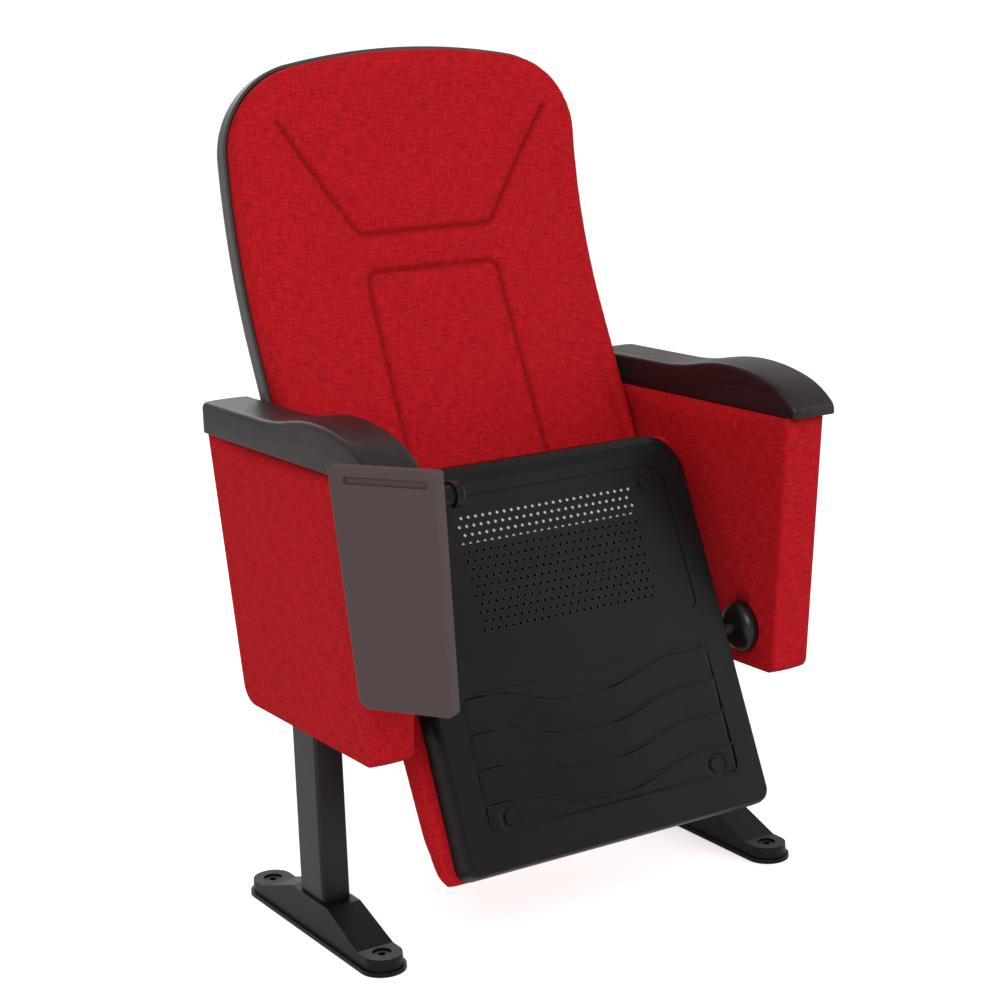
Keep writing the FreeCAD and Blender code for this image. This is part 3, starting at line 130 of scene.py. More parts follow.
@dataclass(frozen=True)
class Finish:
    """A surface finish. A subclass lays its own pattern over the plain values.

    Attributes:
        name: the material's name.
        colour: base colour, linear.
        roughness: middle roughness.
        metallic: 1 on bare metal.
        specular: specular level of the shader.
        coat: clear coat weight.
    """

    name: str
    colour: Colour
    roughness: float = 0.5
    metallic: float = 0.0
    specular: float = 0.5
    coat: float = 0.0

    def material(self) -> bpy.types.Material:
        """Makes the material once and hands it out after that.

        Returns:
            The material.
        """
        known = bpy.data.materials.get(self.name)
        if known:
            return known
        material = bpy.data.materials.new(self.name)
        material.use_nodes = True
        tree = material.node_tree
        tree.nodes.clear()
        object.__setattr__(self, "_tree", tree)
        shader = self.shader()
        out = tree.nodes.new("ShaderNodeOutputMaterial")
        tree.links.new(shader.socket, out.inputs["Surface"])
        return material

    def node(self, kind: str, settings: dict[str, Any], inputs: Any, output: Union[int, str] = 0) -> Tone:
        """Adds a node, sets its settings first and its sockets after.

        Args:
            kind: the node's type.
            settings: attributes, and "stops" for a ramp as (place, colour) pairs.
            inputs: a list in order, or a dictionary by socket name or number.
            output: the output socket wanted.

        Returns:
            The output as a tone.
        """
        made = self._tree.nodes.new(kind)
        stops = settings.pop("stops", None)
        for key, value in settings.items():
            setattr(made, key, value)
        if stops:
            ramp = made.color_ramp
            while len(ramp.elements) > 1:
                ramp.elements.remove(ramp.elements[-1])
            ramp.elements[0].position, ramp.elements[0].color = stops[0][0], (*stops[0][1], 1.0)
            for place, colour in stops[1:]:
                ramp.elements.new(place).color = (*colour, 1.0)
        pairs = enumerate(inputs) if isinstance(inputs, list) else inputs.items()
        for key, value in pairs:
            socket = made.inputs[key]
            if isinstance(value, Tone):
                self._tree.links.new(value.socket, socket)
            elif isinstance(value, tuple) and len(value) == 3 and socket.type == "RGBA":
                socket.default_value = (*value, 1.0)
            else:
                socket.default_value = value
        return Tone(self, made.outputs[output])

    def place(self, scale: Sequence[float] = (1, 1, 1), turn: Sequence[float] = (0, 0, 0)) -> Tone:
        """Object coordinates, stretched and turned."""
        coordinates = self.node("ShaderNodeTexCoord", {}, {}, "Object")
        inputs = {"Vector": coordinates, "Scale": tuple(scale), "Rotation": tuple(turn)}
        return self.node("ShaderNodeMapping", {}, inputs)

    def along_cloth(self, scale: Sequence[float] = (1, 1, 1)) -> Tone:
        """The piece's own cloth map, in metres, stretched."""
        cloth_map = self.node("ShaderNodeUVMap", {"uv_map": "cloth"}, {})
        return self.node("ShaderNodeMapping", {}, {"Vector": cloth_map, "Scale": tuple(scale)})

    def noise(self, vector: Tone, scale: float, detail: float = 2.0, rough: float = 0.5) -> Tone:
        """Noise from 0 to 1."""
        return self.node(
            "ShaderNodeTexNoise", {}, {"Vector": vector, "Scale": scale, "Detail": detail, "Roughness": rough}
        )

    def blend(self, factor: Any, first: Any, second: Any, how: str = "MIX") -> Tone:
        """Mixes two colours."""
        return self.node(
            "ShaderNodeMix", {"data_type": "RGBA", "blend_type": how}, {0: factor, 6: first, 7: second}, 2
        )

    def bump(self, height: Tone, depth: float, strength: float = 1.0) -> Tone:
        """A bump of a real depth."""
        return self.node("ShaderNodeBump", {}, {"Height": height, "Distance": depth, "Strength": strength})

    def shader(self) -> Tone:
        """The shader with this finish's patterns."""
        inputs: dict[str, Any] = {
            "Base Color": self.colour,
            "Roughness": self.roughness,
            "Metallic": self.metallic,
            "Specular IOR Level": self.specular,
            "Coat Weight": self.coat,
        }
        inputs.update(self.pattern())
        return self.node("ShaderNodeBsdfPrincipled", {}, inputs)

    def pattern(self) -> dict[str, Any]:
        """Sockets that vary over the surface."""
        return {}


@dataclass(frozen=True)
class WovenCloth(Finish):
    """A close two-tone weave with slubs in both directions.

    Attributes:
        dark: the darker yarn.
        light: the lighter yarn.
        pitch: yarn spacing.
    """

    dark: Colour = (0.2, 0.005, 0.01)
    light: Colour = (0.55, 0.02, 0.03)
    pitch: float = 0.0017

    def pattern(self) -> dict[str, Any]:
        """Warp and weft ribs under long slubs, with slow shading over the width and painted shade along the
        seams.
        """
        rate = 2 * math.pi / self.pitch
        plain = self.along_cloth()
        split = self._tree.nodes.new("ShaderNodeSeparateXYZ")
        self._tree.links.new(plain.socket, split.inputs[0])
        across, along = Tone(self, split.outputs[0]), Tone(self, split.outputs[1])
        waver = self.noise(plain, 90.0, 1.0) * 0.9
        warp = (across * rate + waver).sine()
        weft = (along * rate + waver).sine()
        weave = warp * weft * 0.5 + 0.5
        weft_slub = self.noise(self.along_cloth((0.09, 1.0, 1.0)), 640.0, 2.0, 0.6)
        warp_slub = self.noise(self.along_cloth((1.0, 0.09, 1.0)), 640.0, 2.0, 0.6)
        fleck = self.noise(plain, 330.0, 2.0, 0.7)
        slow = self.noise(plain, 5.0, 2.0)
        tone = (weft_slub * 1.3 + warp_slub * 1.1 + fleck * 0.4 - 0.88).clamped()
        base = self.blend(tone, self.dark, self.light)
        base = self.blend(weave * 0.34, base, self.dark)
        base = self.blend((slow - 0.35).clamped() * 0.2, base, self.dark)
        # Painted shade: the cloth darkens to deep red along the back's seams, where their grooves lie in
        # shade.
        crease = self.node("ShaderNodeAttribute", {"attribute_name": "crease"}, {}, "Fac")
        base = self.blend(crease * 0.5, base, (0.07, 0.002, 0.003))
        height = weave * 0.55 + weft_slub * 0.5 + warp_slub * 0.35
        return {
            "Base Color": base,
            "Roughness": 0.78 + fleck * 0.14,
            "Normal": self.bump(height, 0.00045, 0.75),
        }


@dataclass(frozen=True)
class DarkWood(Finish):
    """Stained and lacquered wood: long fine pores and slow figure under a satin lacquer.

    Attributes:
        vein: colour of the pores and dark figure.
        grain: stretch along the three axes, least along the grain.
        turn: rotation of the grain.
    """

    vein: Colour = (0.01, 0.006, 0.007)
    grain: Sequence[float] = (1.0, 0.06, 1.0)
    turn: Sequence[float] = (0.0, 0.0, 0.0)

    def pattern(self) -> dict[str, Any]:
        """Figure, pores and a trace of wear."""
        long = self.place(self.grain, self.turn)
        warp = self.noise(long, 26.0, 3.0, 0.55)
        rings = ((warp * 34.0).sine() * 0.5 + 0.5).power(1.6)
        pores = self.noise(long, 620.0, 3.0, 0.65).above(0.6, 0.08)
        slow = self.noise(long, 9.0, 2.0)
        base = self.blend(rings * 0.55, self.colour, self.vein)
        base = self.blend(pores * 0.7, base, self.vein)
        base = self.blend((slow - 0.4).clamped() * 0.5, base, tuple(min(1.0, c * 1.7) for c in self.colour))
        smear = self.noise(self.place(), 34.0, 3.0)
        return {
            "Base Color": base,
            "Roughness": self.roughness + smear * 0.14 - pores * 0.05,
            "Normal": self.bump(1.0 - pores, 0.00012, 0.35),
        }


@dataclass(frozen=True)
class Moulded(Finish):
    """Moulded plastic with a fine spark-eroded grain and a few rubbed patches.

    Attributes:
        grain: repeats of the grain in a metre.
        depth: depth of the grain.
        rub: how much paler the rubbed places are.
    """

    grain: float = 900.0
    depth: float = 0.00012
    rub: float = 0.35

    def pattern(self) -> dict[str, Any]:
        """Fine grain, slow gloss and pale rubbing."""
        here = self.place()
        grain = self.noise(here, self.grain, 3.0, 0.6)
        slow = self.noise(here, 12.0, 3.0, 0.55)
        streak = self.noise(self.place((1.0, 0.3, 0.3)), 60.0, 4.0, 0.6)
        pale = tuple(min(1.0, c * (1.0 + self.rub) + 0.004) for c in self.colour)
        base = self.blend((slow * 0.7 + streak * 0.5 - 0.35).clamped(), self.colour, pale)
        return {
            "Base Color": base,
            "Roughness": self.roughness + grain * 0.1 + slow * 0.1 - 0.1,
            "Normal": self.bump(grain, self.depth, 0.6),
        }


@dataclass(frozen=True)
class PowderCoat(Finish):
    """Black powder coat on steel or cast iron: orange peel and dust-dulled patches.

    Attributes:
        peel: repeats of the orange peel in a metre.
        depth: depth of the orange peel.
    """

    peel: float = 420.0
    depth: float = 0.0002

    def pattern(self) -> dict[str, Any]:
        """Orange peel, slow gloss changes and faint scuffs."""
        here = self.place()
        peel = self.noise(here, self.peel, 2.0)
        slow = self.noise(here, 16.0, 3.0)
        scuff = self.noise(self.place((1.0, 0.25, 0.5)), 85.0, 4.0, 0.7).above(0.68, 0.05)
        pale = tuple(min(1.0, c * 1.9 + 0.006) for c in self.colour)
        base = self.blend(scuff * 0.35 + (slow - 0.45).clamped() * 0.5, self.colour, pale)
        return {
            "Base Color": base,
            "Roughness": self.roughness + slow * 0.16 - 0.08 + scuff * 0.1,
            "Normal": self.bump(peel, self.depth, 0.5),
        }


@dataclass(frozen=True)
class TurnedSteel(Finish):
    """Bright steel with fine turning marks."""

    def pattern(self) -> dict[str, Any]:
        """Fine lines and slow stains."""
        lines = self.noise(self.place((1.0, 0.08, 0.08)), 1500.0, 2.0)
        stain = self.noise(self.place(), 60.0, 3.0)
        base = self.blend((stain - 0.4).clamped(), self.colour, tuple(c * 0.6 for c in self.colour))
        return {
            "Base Color": base,
            "Roughness": self.roughness + lines * 0.15,
            "Normal": self.bump(lines, 0.00004, 0.4),
        }


@dataclass(frozen=True)
class PlyWood(Finish):
    """Raw birch plywood: pale faces with long figure and banded edges."""

    def pattern(self) -> dict[str, Any]:
        """Plies and face grain."""
        figure = self.noise(self.place((1.0, 1.0, 0.08)), 60.0, 4.0, 0.6)
        plies = self.noise(self.place((1.0, 0.05, 0.05)), 700.0, 1.0).above(0.5, 0.1)
        dark = tuple(c * 0.62 for c in self.colour)
        base = self.blend((figure * 1.3 - 0.4).clamped(), self.colour, dark)
        base = self.blend(plies * 0.3, base, dark)
        normal = self.bump(figure, 0.0002, 0.4)
        return {"Base Color": base, "Roughness": 0.62 + figure * 0.16, "Normal": normal}


CLOTH = WovenCloth(
    "red_cloth", (0.5, 0.008, 0.012), 0.88, specular=0.06,
    dark=(0.2, 0.003, 0.007), light=(0.74, 0.015, 0.022),
)
ARM_WOOD = DarkWood(
    "arm_wood", (0.02, 0.0095, 0.0105), 0.36, specular=0.3, coat=0.04, vein=(0.005, 0.002, 0.0025)
)
TABLET_WOOD = DarkWood(
    "tablet_wood", (0.031, 0.0135, 0.0155), 0.42, specular=0.28, coat=0.02, vein=(0.012, 0.0045, 0.0055),
    grain=(1.0, 1.0, 0.06),
)
PAN_PLASTIC = Moulded("pan_plastic", (0.0042, 0.0039, 0.0043), 0.36, specular=0.18)
SHELL_PLASTIC = Moulded("shell_plastic", (0.06, 0.059, 0.06), 0.42, specular=0.5)
HOUSING_PLASTIC = Moulded("housing_plastic", (0.006, 0.0055, 0.006), 0.3, specular=0.4, grain=1500.0)
NYLON = Moulded("nylon", (0.55, 0.54, 0.5), 0.5, grain=1500.0, rub=0.1)
FRAME_BLACK = PowderCoat("frame_black", (0.0058, 0.0052, 0.0056), 0.38, specular=0.34)
CAST_BLACK = PowderCoat("cast_black", (0.0042, 0.004, 0.0043), 0.4, specular=0.2, peel=260.0, depth=0.00035)
SCREW_BLACK = PowderCoat("screw_black", (0.02, 0.02, 0.021), 0.32, peel=1600.0, depth=0.00005)
BRIGHT = TurnedSteel("bright_steel", (0.5, 0.5, 0.51), 0.26, 1.0)
BACKING = Moulded("board_backing", (0.006, 0.0056, 0.006), 0.8, specular=0.1)
# Painted light: a pale sheet seen through the front rows of the pan's holes, standing for light coming
# through them.
THROUGH_LIGHT = Moulded("lining", (0.75, 0.74, 0.73), 0.8, specular=0.1)
# Painted highlight: the perforation rims are much paler and glossier than the pan's own black moulding, so
# that they glint.
PAINTED_GLINT = Moulded("perforation_rim", (0.03, 0.028, 0.03), 0.26, specular=0.6)
PLY = PlyWood("plywood", (0.52, 0.37, 0.22), 0.7)

SLOT_FINISH: dict[str, Finish] = {
    "cast_foot": CAST_BLACK,
    "cast_arm": CAST_BLACK,
    "frame_steel": FRAME_BLACK,
    "plywood": PLY,
    "cloth": CLOTH,
    "dark_wood": ARM_WOOD,
    "tablet_wood": TABLET_WOOD,
    "moulding": PAN_PLASTIC,
    "shell": SHELL_PLASTIC,
    "housing": HOUSING_PLASTIC,
    "nylon": NYLON,
    "bright_steel": BRIGHT,
    "fastener": SCREW_BLACK,
}
NODE_FINISH: dict[str, Finish] = {
    "pivot_shaft_left": SCREW_BLACK,
    "pivot_shaft_right": SCREW_BLACK,
    "seat_board": BACKING,
}


# Mesh helpers


def smooth_step(value: np.ndarray) -> np.ndarray:
    """Eases 0 to 1."""
    kept = np.clip(value, 0.0, 1.0)
    return kept * kept * (3.0 - 2.0 * kept)


def rounded_loop(
    corners: Sequence[tuple[float, float, float]], steps: int = 8, spacing: float = 0.02
) -> list[tuple[float, float]]:
    """Points round a polygon with rounded corners.

    Args:
        corners: (x, y, radius) in order.
        steps: points on a corner's arc.
        spacing: longest step along a straight side.

    Returns:
        The loop's points.
    """
    arcs: list[list[Vector]] = []
    count = len(corners)
    for index, (x, y, radius) in enumerate(corners):
        here = Vector((x, y))
        before = (Vector(corners[index - 1][:2]) - here).normalized()
        after = (Vector(corners[(index + 1) % count][:2]) - here).normalized()
        if radius <= 0:
            arcs.append([here])
            continue
        half = before.angle(after) / 2
        centre = here + (before + after).normalized() * (radius / math.sin(half))
        reach = radius / math.tan(half)
        start, end = here + before * reach - centre, here + after * reach - centre
        total = start.angle_signed(end)
        arcs.append([centre + Matrix.Rotation(-total * k / steps, 2) @ start for k in range(steps + 1)])
    points: list[Vector] = []
    for index, arc in enumerate(arcs):
        points += arc
        start, end = arc[-1], arcs[(index + 1) % count][0]
        cuts = max(1, math.ceil((end - start).length / spacing))
        points += [start.lerp(end, k / cuts) for k in range(1, cuts)]
    return [(p.x, p.y) for p in points]


def skin(rings: Sequence[np.ndarray], closed: bool = True) -> tuple[np.ndarray, list[tuple[int, ...]]]:
    """Joins rings of equal length with quads."""
    count = len(rings[0])
    faces = []
    last = count if closed else count - 1
    for ring in range(len(rings) - 1):
        for step in range(last):
            a, b = ring * count + step, ring * count + (step + 1) % count
            faces.append((a, b, b + count, a + count))
    return np.vstack(rings), faces


def new_piece(name: str, verts: Any, faces: Any, finish: Finish, smooth: bool = True) -> bpy.types.Object:
    """Makes a mesh object with a finish.

    Args:
        name: the piece's name.
        verts: the vertices.
        faces: the faces.
        finish: its finish.
        smooth: shades it smooth.

    Returns:
        The object.
    """
    mesh = bpy.data.meshes.new(name)
    mesh.from_pydata([tuple(map(float, v)) for v in verts], [], [tuple(f) for f in faces])
    mesh.validate()
    built = bmesh.new()
    built.from_mesh(mesh)
    bmesh.ops.remove_doubles(built, verts=built.verts, dist=1e-6)
    bmesh.ops.recalc_face_normals(built, faces=built.faces)
    built.to_mesh(mesh)
    built.free()
    mesh.materials.append(finish.material())
    if smooth:
        mesh.shade_smooth()
    piece = bpy.data.objects.new(name, mesh)
    bpy.context.scene.collection.objects.link(piece)
    return piece


def applied(piece: bpy.types.Object) -> bpy.types.Object:
    """Puts a piece's modifiers into its mesh."""
    graph = bpy.context.evaluated_depsgraph_get()
    mesh = bpy.data.meshes.new_from_object(piece.evaluated_get(graph))
    piece.modifiers.clear()
    piece.data = mesh
    return piece


def points_of(mesh: bpy.types.Mesh) -> np.ndarray:
    """The mesh's vertices as an array."""
    flat = np.empty(len(mesh.vertices) * 3)
    mesh.vertices.foreach_get("co", flat)
    return flat.reshape(-1, 3)


def normals_of(mesh: bpy.types.Mesh) -> np.ndarray:
    """The mesh's vertex normals as an array."""
    flat = np.empty(len(mesh.vertices) * 3)
    mesh.vertices.foreach_get("normal", flat)
    return flat.reshape(-1, 3)


def set_points(mesh: bpy.types.Mesh, points: np.ndarray) -> None:
    """Moves a mesh's vertices."""
    mesh.vertices.foreach_set("co", points.ravel())
    mesh.update()


def lay_cloth(piece: bpy.types.Object, frame: Matrix) -> None:
    """Gives a piece a cloth map in metres, from the side each face looks to.

    Args:
        piece: the object.
        frame: turns the piece's axes so that cloth lies straight on it.
    """
    mesh = piece.data
    layer = mesh.uv_layers.new(name="cloth")
    turn = np.array(frame.to_3x3())
    local = points_of(mesh) @ turn.T
    flat = np.empty(len(mesh.polygons) * 3)
    mesh.polygons.foreach_get("normal", flat)
    facing = np.abs(flat.reshape(-1, 3) @ turn.T)
    corners = np.empty(len(mesh.loops), int)
    mesh.loops.foreach_get("vertex_index", corners)
    totals = np.empty(len(mesh.polygons), int)
    mesh.polygons.foreach_get("loop_total", totals)
    side = np.repeat(np.argmax(facing * np.array([1.0, 1.3, 1.0]), axis=1), totals)
    here = local[corners]
    across = np.where(side == 0, here[:, 1], here[:, 0])
    along = np.where(side == 2, here[:, 1], here[:, 2])
    layer.data.foreach_set("uv", np.column_stack([across, along]).ravel())


def from_node(name: str, node: str, finish: Finish, voxel: float, shrink: float = 0.0) -> bpy.types.Object:
    """A remeshed copy of a CAD node, for soft pieces.

    Args:
        name: the piece's name.
        node: the CAD node.
        finish: its finish.
        voxel: size of the remesh.
        shrink: how far the skin is drawn in first.

    Returns:
        The piece.
    """
    mesh = bpy.data.objects[node].data.copy()
    mesh.materials.clear()
    mesh.materials.append(finish.material())
    built = bmesh.new()
    built.from_mesh(mesh)
    bmesh.ops.remove_doubles(built, verts=built.verts, dist=1e-5)
    built.to_mesh(mesh)
    built.free()
    piece = bpy.data.objects.new(name, mesh)
    bpy.context.scene.collection.objects.link(piece)
    remesh = piece.modifiers.new("remesh", "REMESH")
    remesh.mode, remesh.voxel_size, remesh.use_smooth_shade = "VOXEL", voxel, True
    smooth = piece.modifiers.new("smooth", "SMOOTH")
    smooth.factor, smooth.iterations = 0.5, 6
    applied(piece)
    if shrink:
        set_points(piece.data, points_of(piece.data) - normals_of(piece.data) * shrink)
    return piece


def inflate(piece: bpy.types.Object, pinned: np.ndarray, pressure: float, cap: float) -> None:
    """Blows a closed soft piece up as cloth, then keeps the swelling under a cap.

    Args:
        piece: the soft piece.
        pinned: which vertices stay where they are.
        pressure: the air inside.
        cap: the farthest that a vertex may move.
    """
    start = points_of(piece.data)
    group = piece.vertex_groups.new(name="held")
    group.add([int(k) for k in np.nonzero(pinned)[0]], 1.0, "REPLACE")
    cloth = piece.modifiers.new("cloth", "CLOTH")
    cloth.settings.vertex_group_mass = "held"
    cloth.settings.use_pressure = True
    cloth.settings.uniform_pressure_force = pressure
    cloth.settings.quality = 4
    cloth.settings.tension_stiffness = 25
    cloth.settings.compression_stiffness = 25
    cloth.settings.bending_stiffness = 6
    cloth.settings.effector_weights.gravity = 0.0
    cloth.collision_settings.use_collision = False
    scene = bpy.context.scene
    for frame in range(1, 21):
        scene.frame_set(frame)
    graph = bpy.context.evaluated_depsgraph_get()
    swollen = bpy.data.meshes.new_from_object(piece.evaluated_get(graph))
    moved = points_of(swollen) - start
    normals = normals_of(piece.data)
    inward = np.minimum((moved * normals).sum(axis=1), 0.0)
    moved -= normals * inward[:, None]
    bpy.data.meshes.remove(swollen)
    piece.modifiers.clear()
    piece.vertex_groups.clear()
    scene.frame_set(1)
    length = np.linalg.norm(moved, axis=1, keepdims=True)
    kept = cap * np.tanh(length / cap)
    set_points(piece.data, start + moved * (kept / np.maximum(length, 1e-9)))


def line_distance(points: np.ndarray, line: Sequence[tuple[float, float]]) -> np.ndarray:
    """Distance of flat points from a polyline."""
    best = np.full(len(points), 1e9)
    for (x0, y0), (x1, y1) in zip(line, line[1:]):
        a, run = np.array([x0, y0]), np.array([x1 - x0, y1 - y0])
        share = np.clip(((points - a) @ run) / (run @ run), 0, 1)
        best = np.minimum(best, np.linalg.norm(points - a - share[:, None] * run, axis=1))
    return best


# Geometry Nodes helpers


class NodeBuild:
    """A Geometry Nodes tree with named inputs, run once over an object."""

    def __init__(self, name: str, inputs: dict[str, tuple[str, Any]]) -> None:
        """Starts the tree."""
        self.tree = bpy.data.node_groups.new(name, "GeometryNodeTree")
        self.tree.interface.new_socket("Geometry", in_out="INPUT", socket_type="NodeSocketGeometry")
        self.values: dict[str, Any] = {}
        for label, (kind, value) in inputs.items():
            socket = self.tree.interface.new_socket(label, in_out="INPUT", socket_type=kind)
            self.values[socket.identifier] = value
        self.tree.interface.new_socket("Geometry", in_out="OUTPUT", socket_type="NodeSocketGeometry")
        self.entry = self.tree.nodes.new("NodeGroupInput")

    def add(self, kind: str, settings: Optional[dict[str, Any]] = None, **inputs: Any) -> Any:
        """Adds a node and links or sets its sockets.

        Args:
            kind: the node's type.
            settings: its attributes.
            inputs: socket names with spaces as underscores.

        Returns:
            The node.
        """
        made = self.tree.nodes.new(kind)
        for key, value in (settings or {}).items():
            setattr(made, key, value)
        for label, value in inputs.items():
            socket = made.inputs[label.replace("_", " ")]
            if isinstance(value, bpy.types.NodeSocket):
                self.tree.links.new(value, socket)
            else:
                socket.default_value = value
        return made

    def sum(self, operation: str, *values: Any) -> Any:
        """One sum in the tree, on sockets or numbers."""
        made = self.add("ShaderNodeMath", {"operation": operation})
        for place, value in enumerate(values):
            if isinstance(value, bpy.types.NodeSocket):
                self.tree.links.new(value, made.inputs[place])
            else:
                made.inputs[place].default_value = value
        return made.outputs[0]

    def given(self, label: str) -> Any:
        """One of the tree's inputs."""
        return self.entry.outputs[label]

    def finish(self, geometry: Any, finish: Finish) -> None:
        """Ends the tree in Realize Instances and Set Material."""
        real = self.add("GeometryNodeRealizeInstances", Geometry=geometry)
        painted = self.add("GeometryNodeSetMaterial", Geometry=real.outputs[0], Material=finish.material())
        leave = self.tree.nodes.new("NodeGroupOutput")
        self.tree.links.new(painted.outputs[0], leave.inputs[0])

    def run(self, piece: bpy.types.Object) -> bpy.types.Object:
        """Runs the tree over an object and keeps the mesh."""
        modifier = piece.modifiers.new(self.tree.name, "NODES")
        modifier.node_group = self.tree
        for identifier, value in self.values.items():
            modifier[identifier] = value
        return applied(piece)


# The camera and the studio


@dataclass
class Studio:
    """The photograph's camera, a pale floor and soft lights.

    Attributes:
        yaw: turn of the view about +Z, degrees.
        pitch: how far the camera looks down, degrees.
        roll: turn about the line of sight, degrees.
        focal: focal length in pixels of a 1000 pixel frame.
        distance: from the aim point.
        aim: the point on the seat's axis that the view is built on.
        lower: shift of the camera along its own up.
    """

    yaw: float = -31.86677
    pitch: float = 12.83209
    roll: float = -2.0
    focal: float = 2244.946
    distance: float = 2.65758
    aim: tuple[float, float, float] = (0.0, 0.0225, 0.51724)
    lower: float = -0.049785

    def camera(self) -> None:
        """Places the camera."""
        a, e, r = (math.radians(v) for v in (self.yaw, self.pitch, self.roll))
        back = Vector((math.sin(a) * math.cos(e), -math.cos(a) * math.cos(e), math.sin(e)))
        right = Vector((math.cos(a), math.sin(a), 0.0))
        up = back.cross(right)
        place = Vector(self.aim) + back * self.distance + up * self.lower
        across = right * math.cos(r) + up * math.sin(r)
        upward = up * math.cos(r) - right * math.sin(r)
        camera = bpy.data.cameras.new("camera")
        camera.sensor_width = 36.0
        camera.lens = self.focal / 1000.0 * camera.sensor_width
        camera.clip_end = 200.0
        holder = bpy.data.objects.new("camera", camera)
        basis = Matrix((across, upward, back)).transposed().to_4x4()
        holder.matrix_world = Matrix.Translation(place) @ basis
        bpy.context.scene.collection.objects.link(holder)
        bpy.context.scene.camera = holder

    def lamp(self, name: str, place: Sequence[float], size: float, power: float) -> None:
        """A square area light aimed at the seat."""
        light = bpy.data.lights.new(name, "AREA")
        light.size, light.energy = size, power
        holder = bpy.data.objects.new(name, light)
        holder.location = place
        aim = Vector((0.0, 0.0, 0.5)) - Vector(place)
        holder.rotation_euler = aim.to_track_quat("-Z", "Y").to_euler()
        bpy.context.scene.collection.objects.link(holder)

    def world(self) -> None:
        """A soft pale surround that the camera sees as white."""
        world = bpy.data.worlds.new("surround")
        world.use_nodes = True
        tree = world.node_tree
        tree.nodes.clear()
        path = tree.nodes.new("ShaderNodeLightPath")
        dim, white = tree.nodes.new("ShaderNodeBackground"), tree.nodes.new("ShaderNodeBackground")
        dim.inputs[0].default_value, dim.inputs[1].default_value = (1.0, 1.0, 1.0, 1.0), 0.62
        white.inputs[0].default_value, white.inputs[1].default_value = (1.0, 1.0, 1.0, 1.0), 1.0
        mix, out = tree.nodes.new("ShaderNodeMixShader"), tree.nodes.new("ShaderNodeOutputWorld")
        tree.links.new(path.outputs["Is Camera Ray"], mix.inputs[0])
        tree.links.new(dim.outputs[0], mix.inputs[1])
        tree.links.new(white.outputs[0], mix.inputs[2])
        tree.links.new(mix.outputs[0], out.inputs[0])
        bpy.context.scene.world = world

    def floor(self) -> None:
        """A pale floor that keeps the seat's shadow."""
        reach, under = 60.0, -0.0005
        corners = [(x * reach, y * reach, under) for x, y in ((-1, -1), (1, -1), (1, 1), (-1, 1))]
        pale = Finish("floor_pale", (0.9, 0.9, 0.9), 0.9, specular=0.1)
        piece = new_piece("floor", corners, [(0, 1, 2, 3)], pale)
        material = piece.data.materials[0]
        tree = material.node_tree
        plain = next(n for n in tree.nodes if n.type == "BSDF_PRINCIPLED")
        out = next(n for n in tree.nodes if n.type == "OUTPUT_MATERIAL")
        path, glow = tree.nodes.new("ShaderNodeLightPath"), tree.nodes.new("ShaderNodeEmission")
        total = tree.nodes.new("ShaderNodeAddShader")
        glow.inputs[0].default_value = (1.0, 1.0, 1.0, 1.0)
        share = tree.nodes.new("ShaderNodeMath")
        share.operation = "MULTIPLY"
        share.inputs[1].default_value = 0.52
        tree.links.new(path.outputs["Is Camera Ray"], share.inputs[0])
        tree.links.new(share.outputs[0], glow.inputs[1])
        tree.links.new(plain.outputs[0], total.inputs[0])
        tree.links.new(glow.outputs[0], total.inputs[1])
        tree.links.new(total.outputs[0], out.inputs["Surface"])

    def build(self) -> None:
        """Sets everything up."""
        bpy.context.scene.view_settings.view_transform = "Standard"
        self.camera()
        self.world()
        self.floor()
        self.lamp("key", (-1.9, -2.6, 2.7), 2.0, 62.0)
        self.lamp("fill", (2.8, -2.0, 1.6), 2.4, 22.0)
        self.lamp("rim", (0.5, 2.8, 2.4), 2.0, 26.0)


# The seat's sub-assemblies


def tilted(place: Sequence[float], degrees: float) -> Matrix:
    """A frame turned about X at a place."""
    return Matrix.Translation(place) @ Matrix.Rotation(math.radians(degrees), 4, "X")


# The back's front bends about BEND, from LEAN in its lower part to TOP_LEAN at its top.
BEND = Vector((0.0, 0.136, 0.67))
BEND_RADIUS = 0.617
LEAN, TOP_LEAN = math.radians(24.0), math.radians(2.0)
# The seat's pivot in Y and Z, and the frame of the seat as it stands tipped up.
PIVOT = (-0.1275, 0.3)
SEAT_FRAME = tilted((0.0, *PIVOT), -112.8)
# Air in the cushions while they swell.
PRESSURE = 4.0


class Role(Enum):
    """Which body a piece rides on."""

    STAND = "stand"
    SEAT = "seat"


def on_seat(local: np.ndarray) -> np.ndarray:
    """Points of the seat's own frame, laid where the tipped seat has them."""
    return local @ np.array(SEAT_FRAME.to_3x3()).T + np.array(SEAT_FRAME.translation)


def divided(piece: bpy.types.Object) -> bpy.types.Object:
    """Divides a soft piece once, for fine folds."""
    fine = piece.modifiers.new("fine", "SUBSURF")
    fine.levels = fine.render_levels = 1
    return applied(piece)


def back_depth(points: np.ndarray) -> np.ndarray:
    """How far points lie behind the back's bent front."""
    centre = np.array([BEND.y - BEND_RADIUS * math.cos(LEAN), BEND.z + BEND_RADIUS * math.sin(LEAN)])
    rel = points[:, 1:] - centre
    angle = np.arctan2(-rel[:, 1], rel[:, 0])
    held = np.clip(angle, TOP_LEAN, LEAN)
    return rel[:, 0] * np.cos(held) - rel[:, 1] * np.sin(held) - BEND_RADIUS


def hand_in(piece: bpy.types.Object, role: Role, slot: str, *nodes: str) -> bpy.types.Object:
    """Lets a piece ride, hides the nodes that it stands for, and reports it."""
    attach(piece, role.value)
    if nodes:
        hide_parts(*nodes)
    triangles = sum(len(p.vertices) - 2 for p in piece.data.polygons)
    LOG.info("%s: %d triangles on %s", piece.name, triangles, role.value)
    return piece


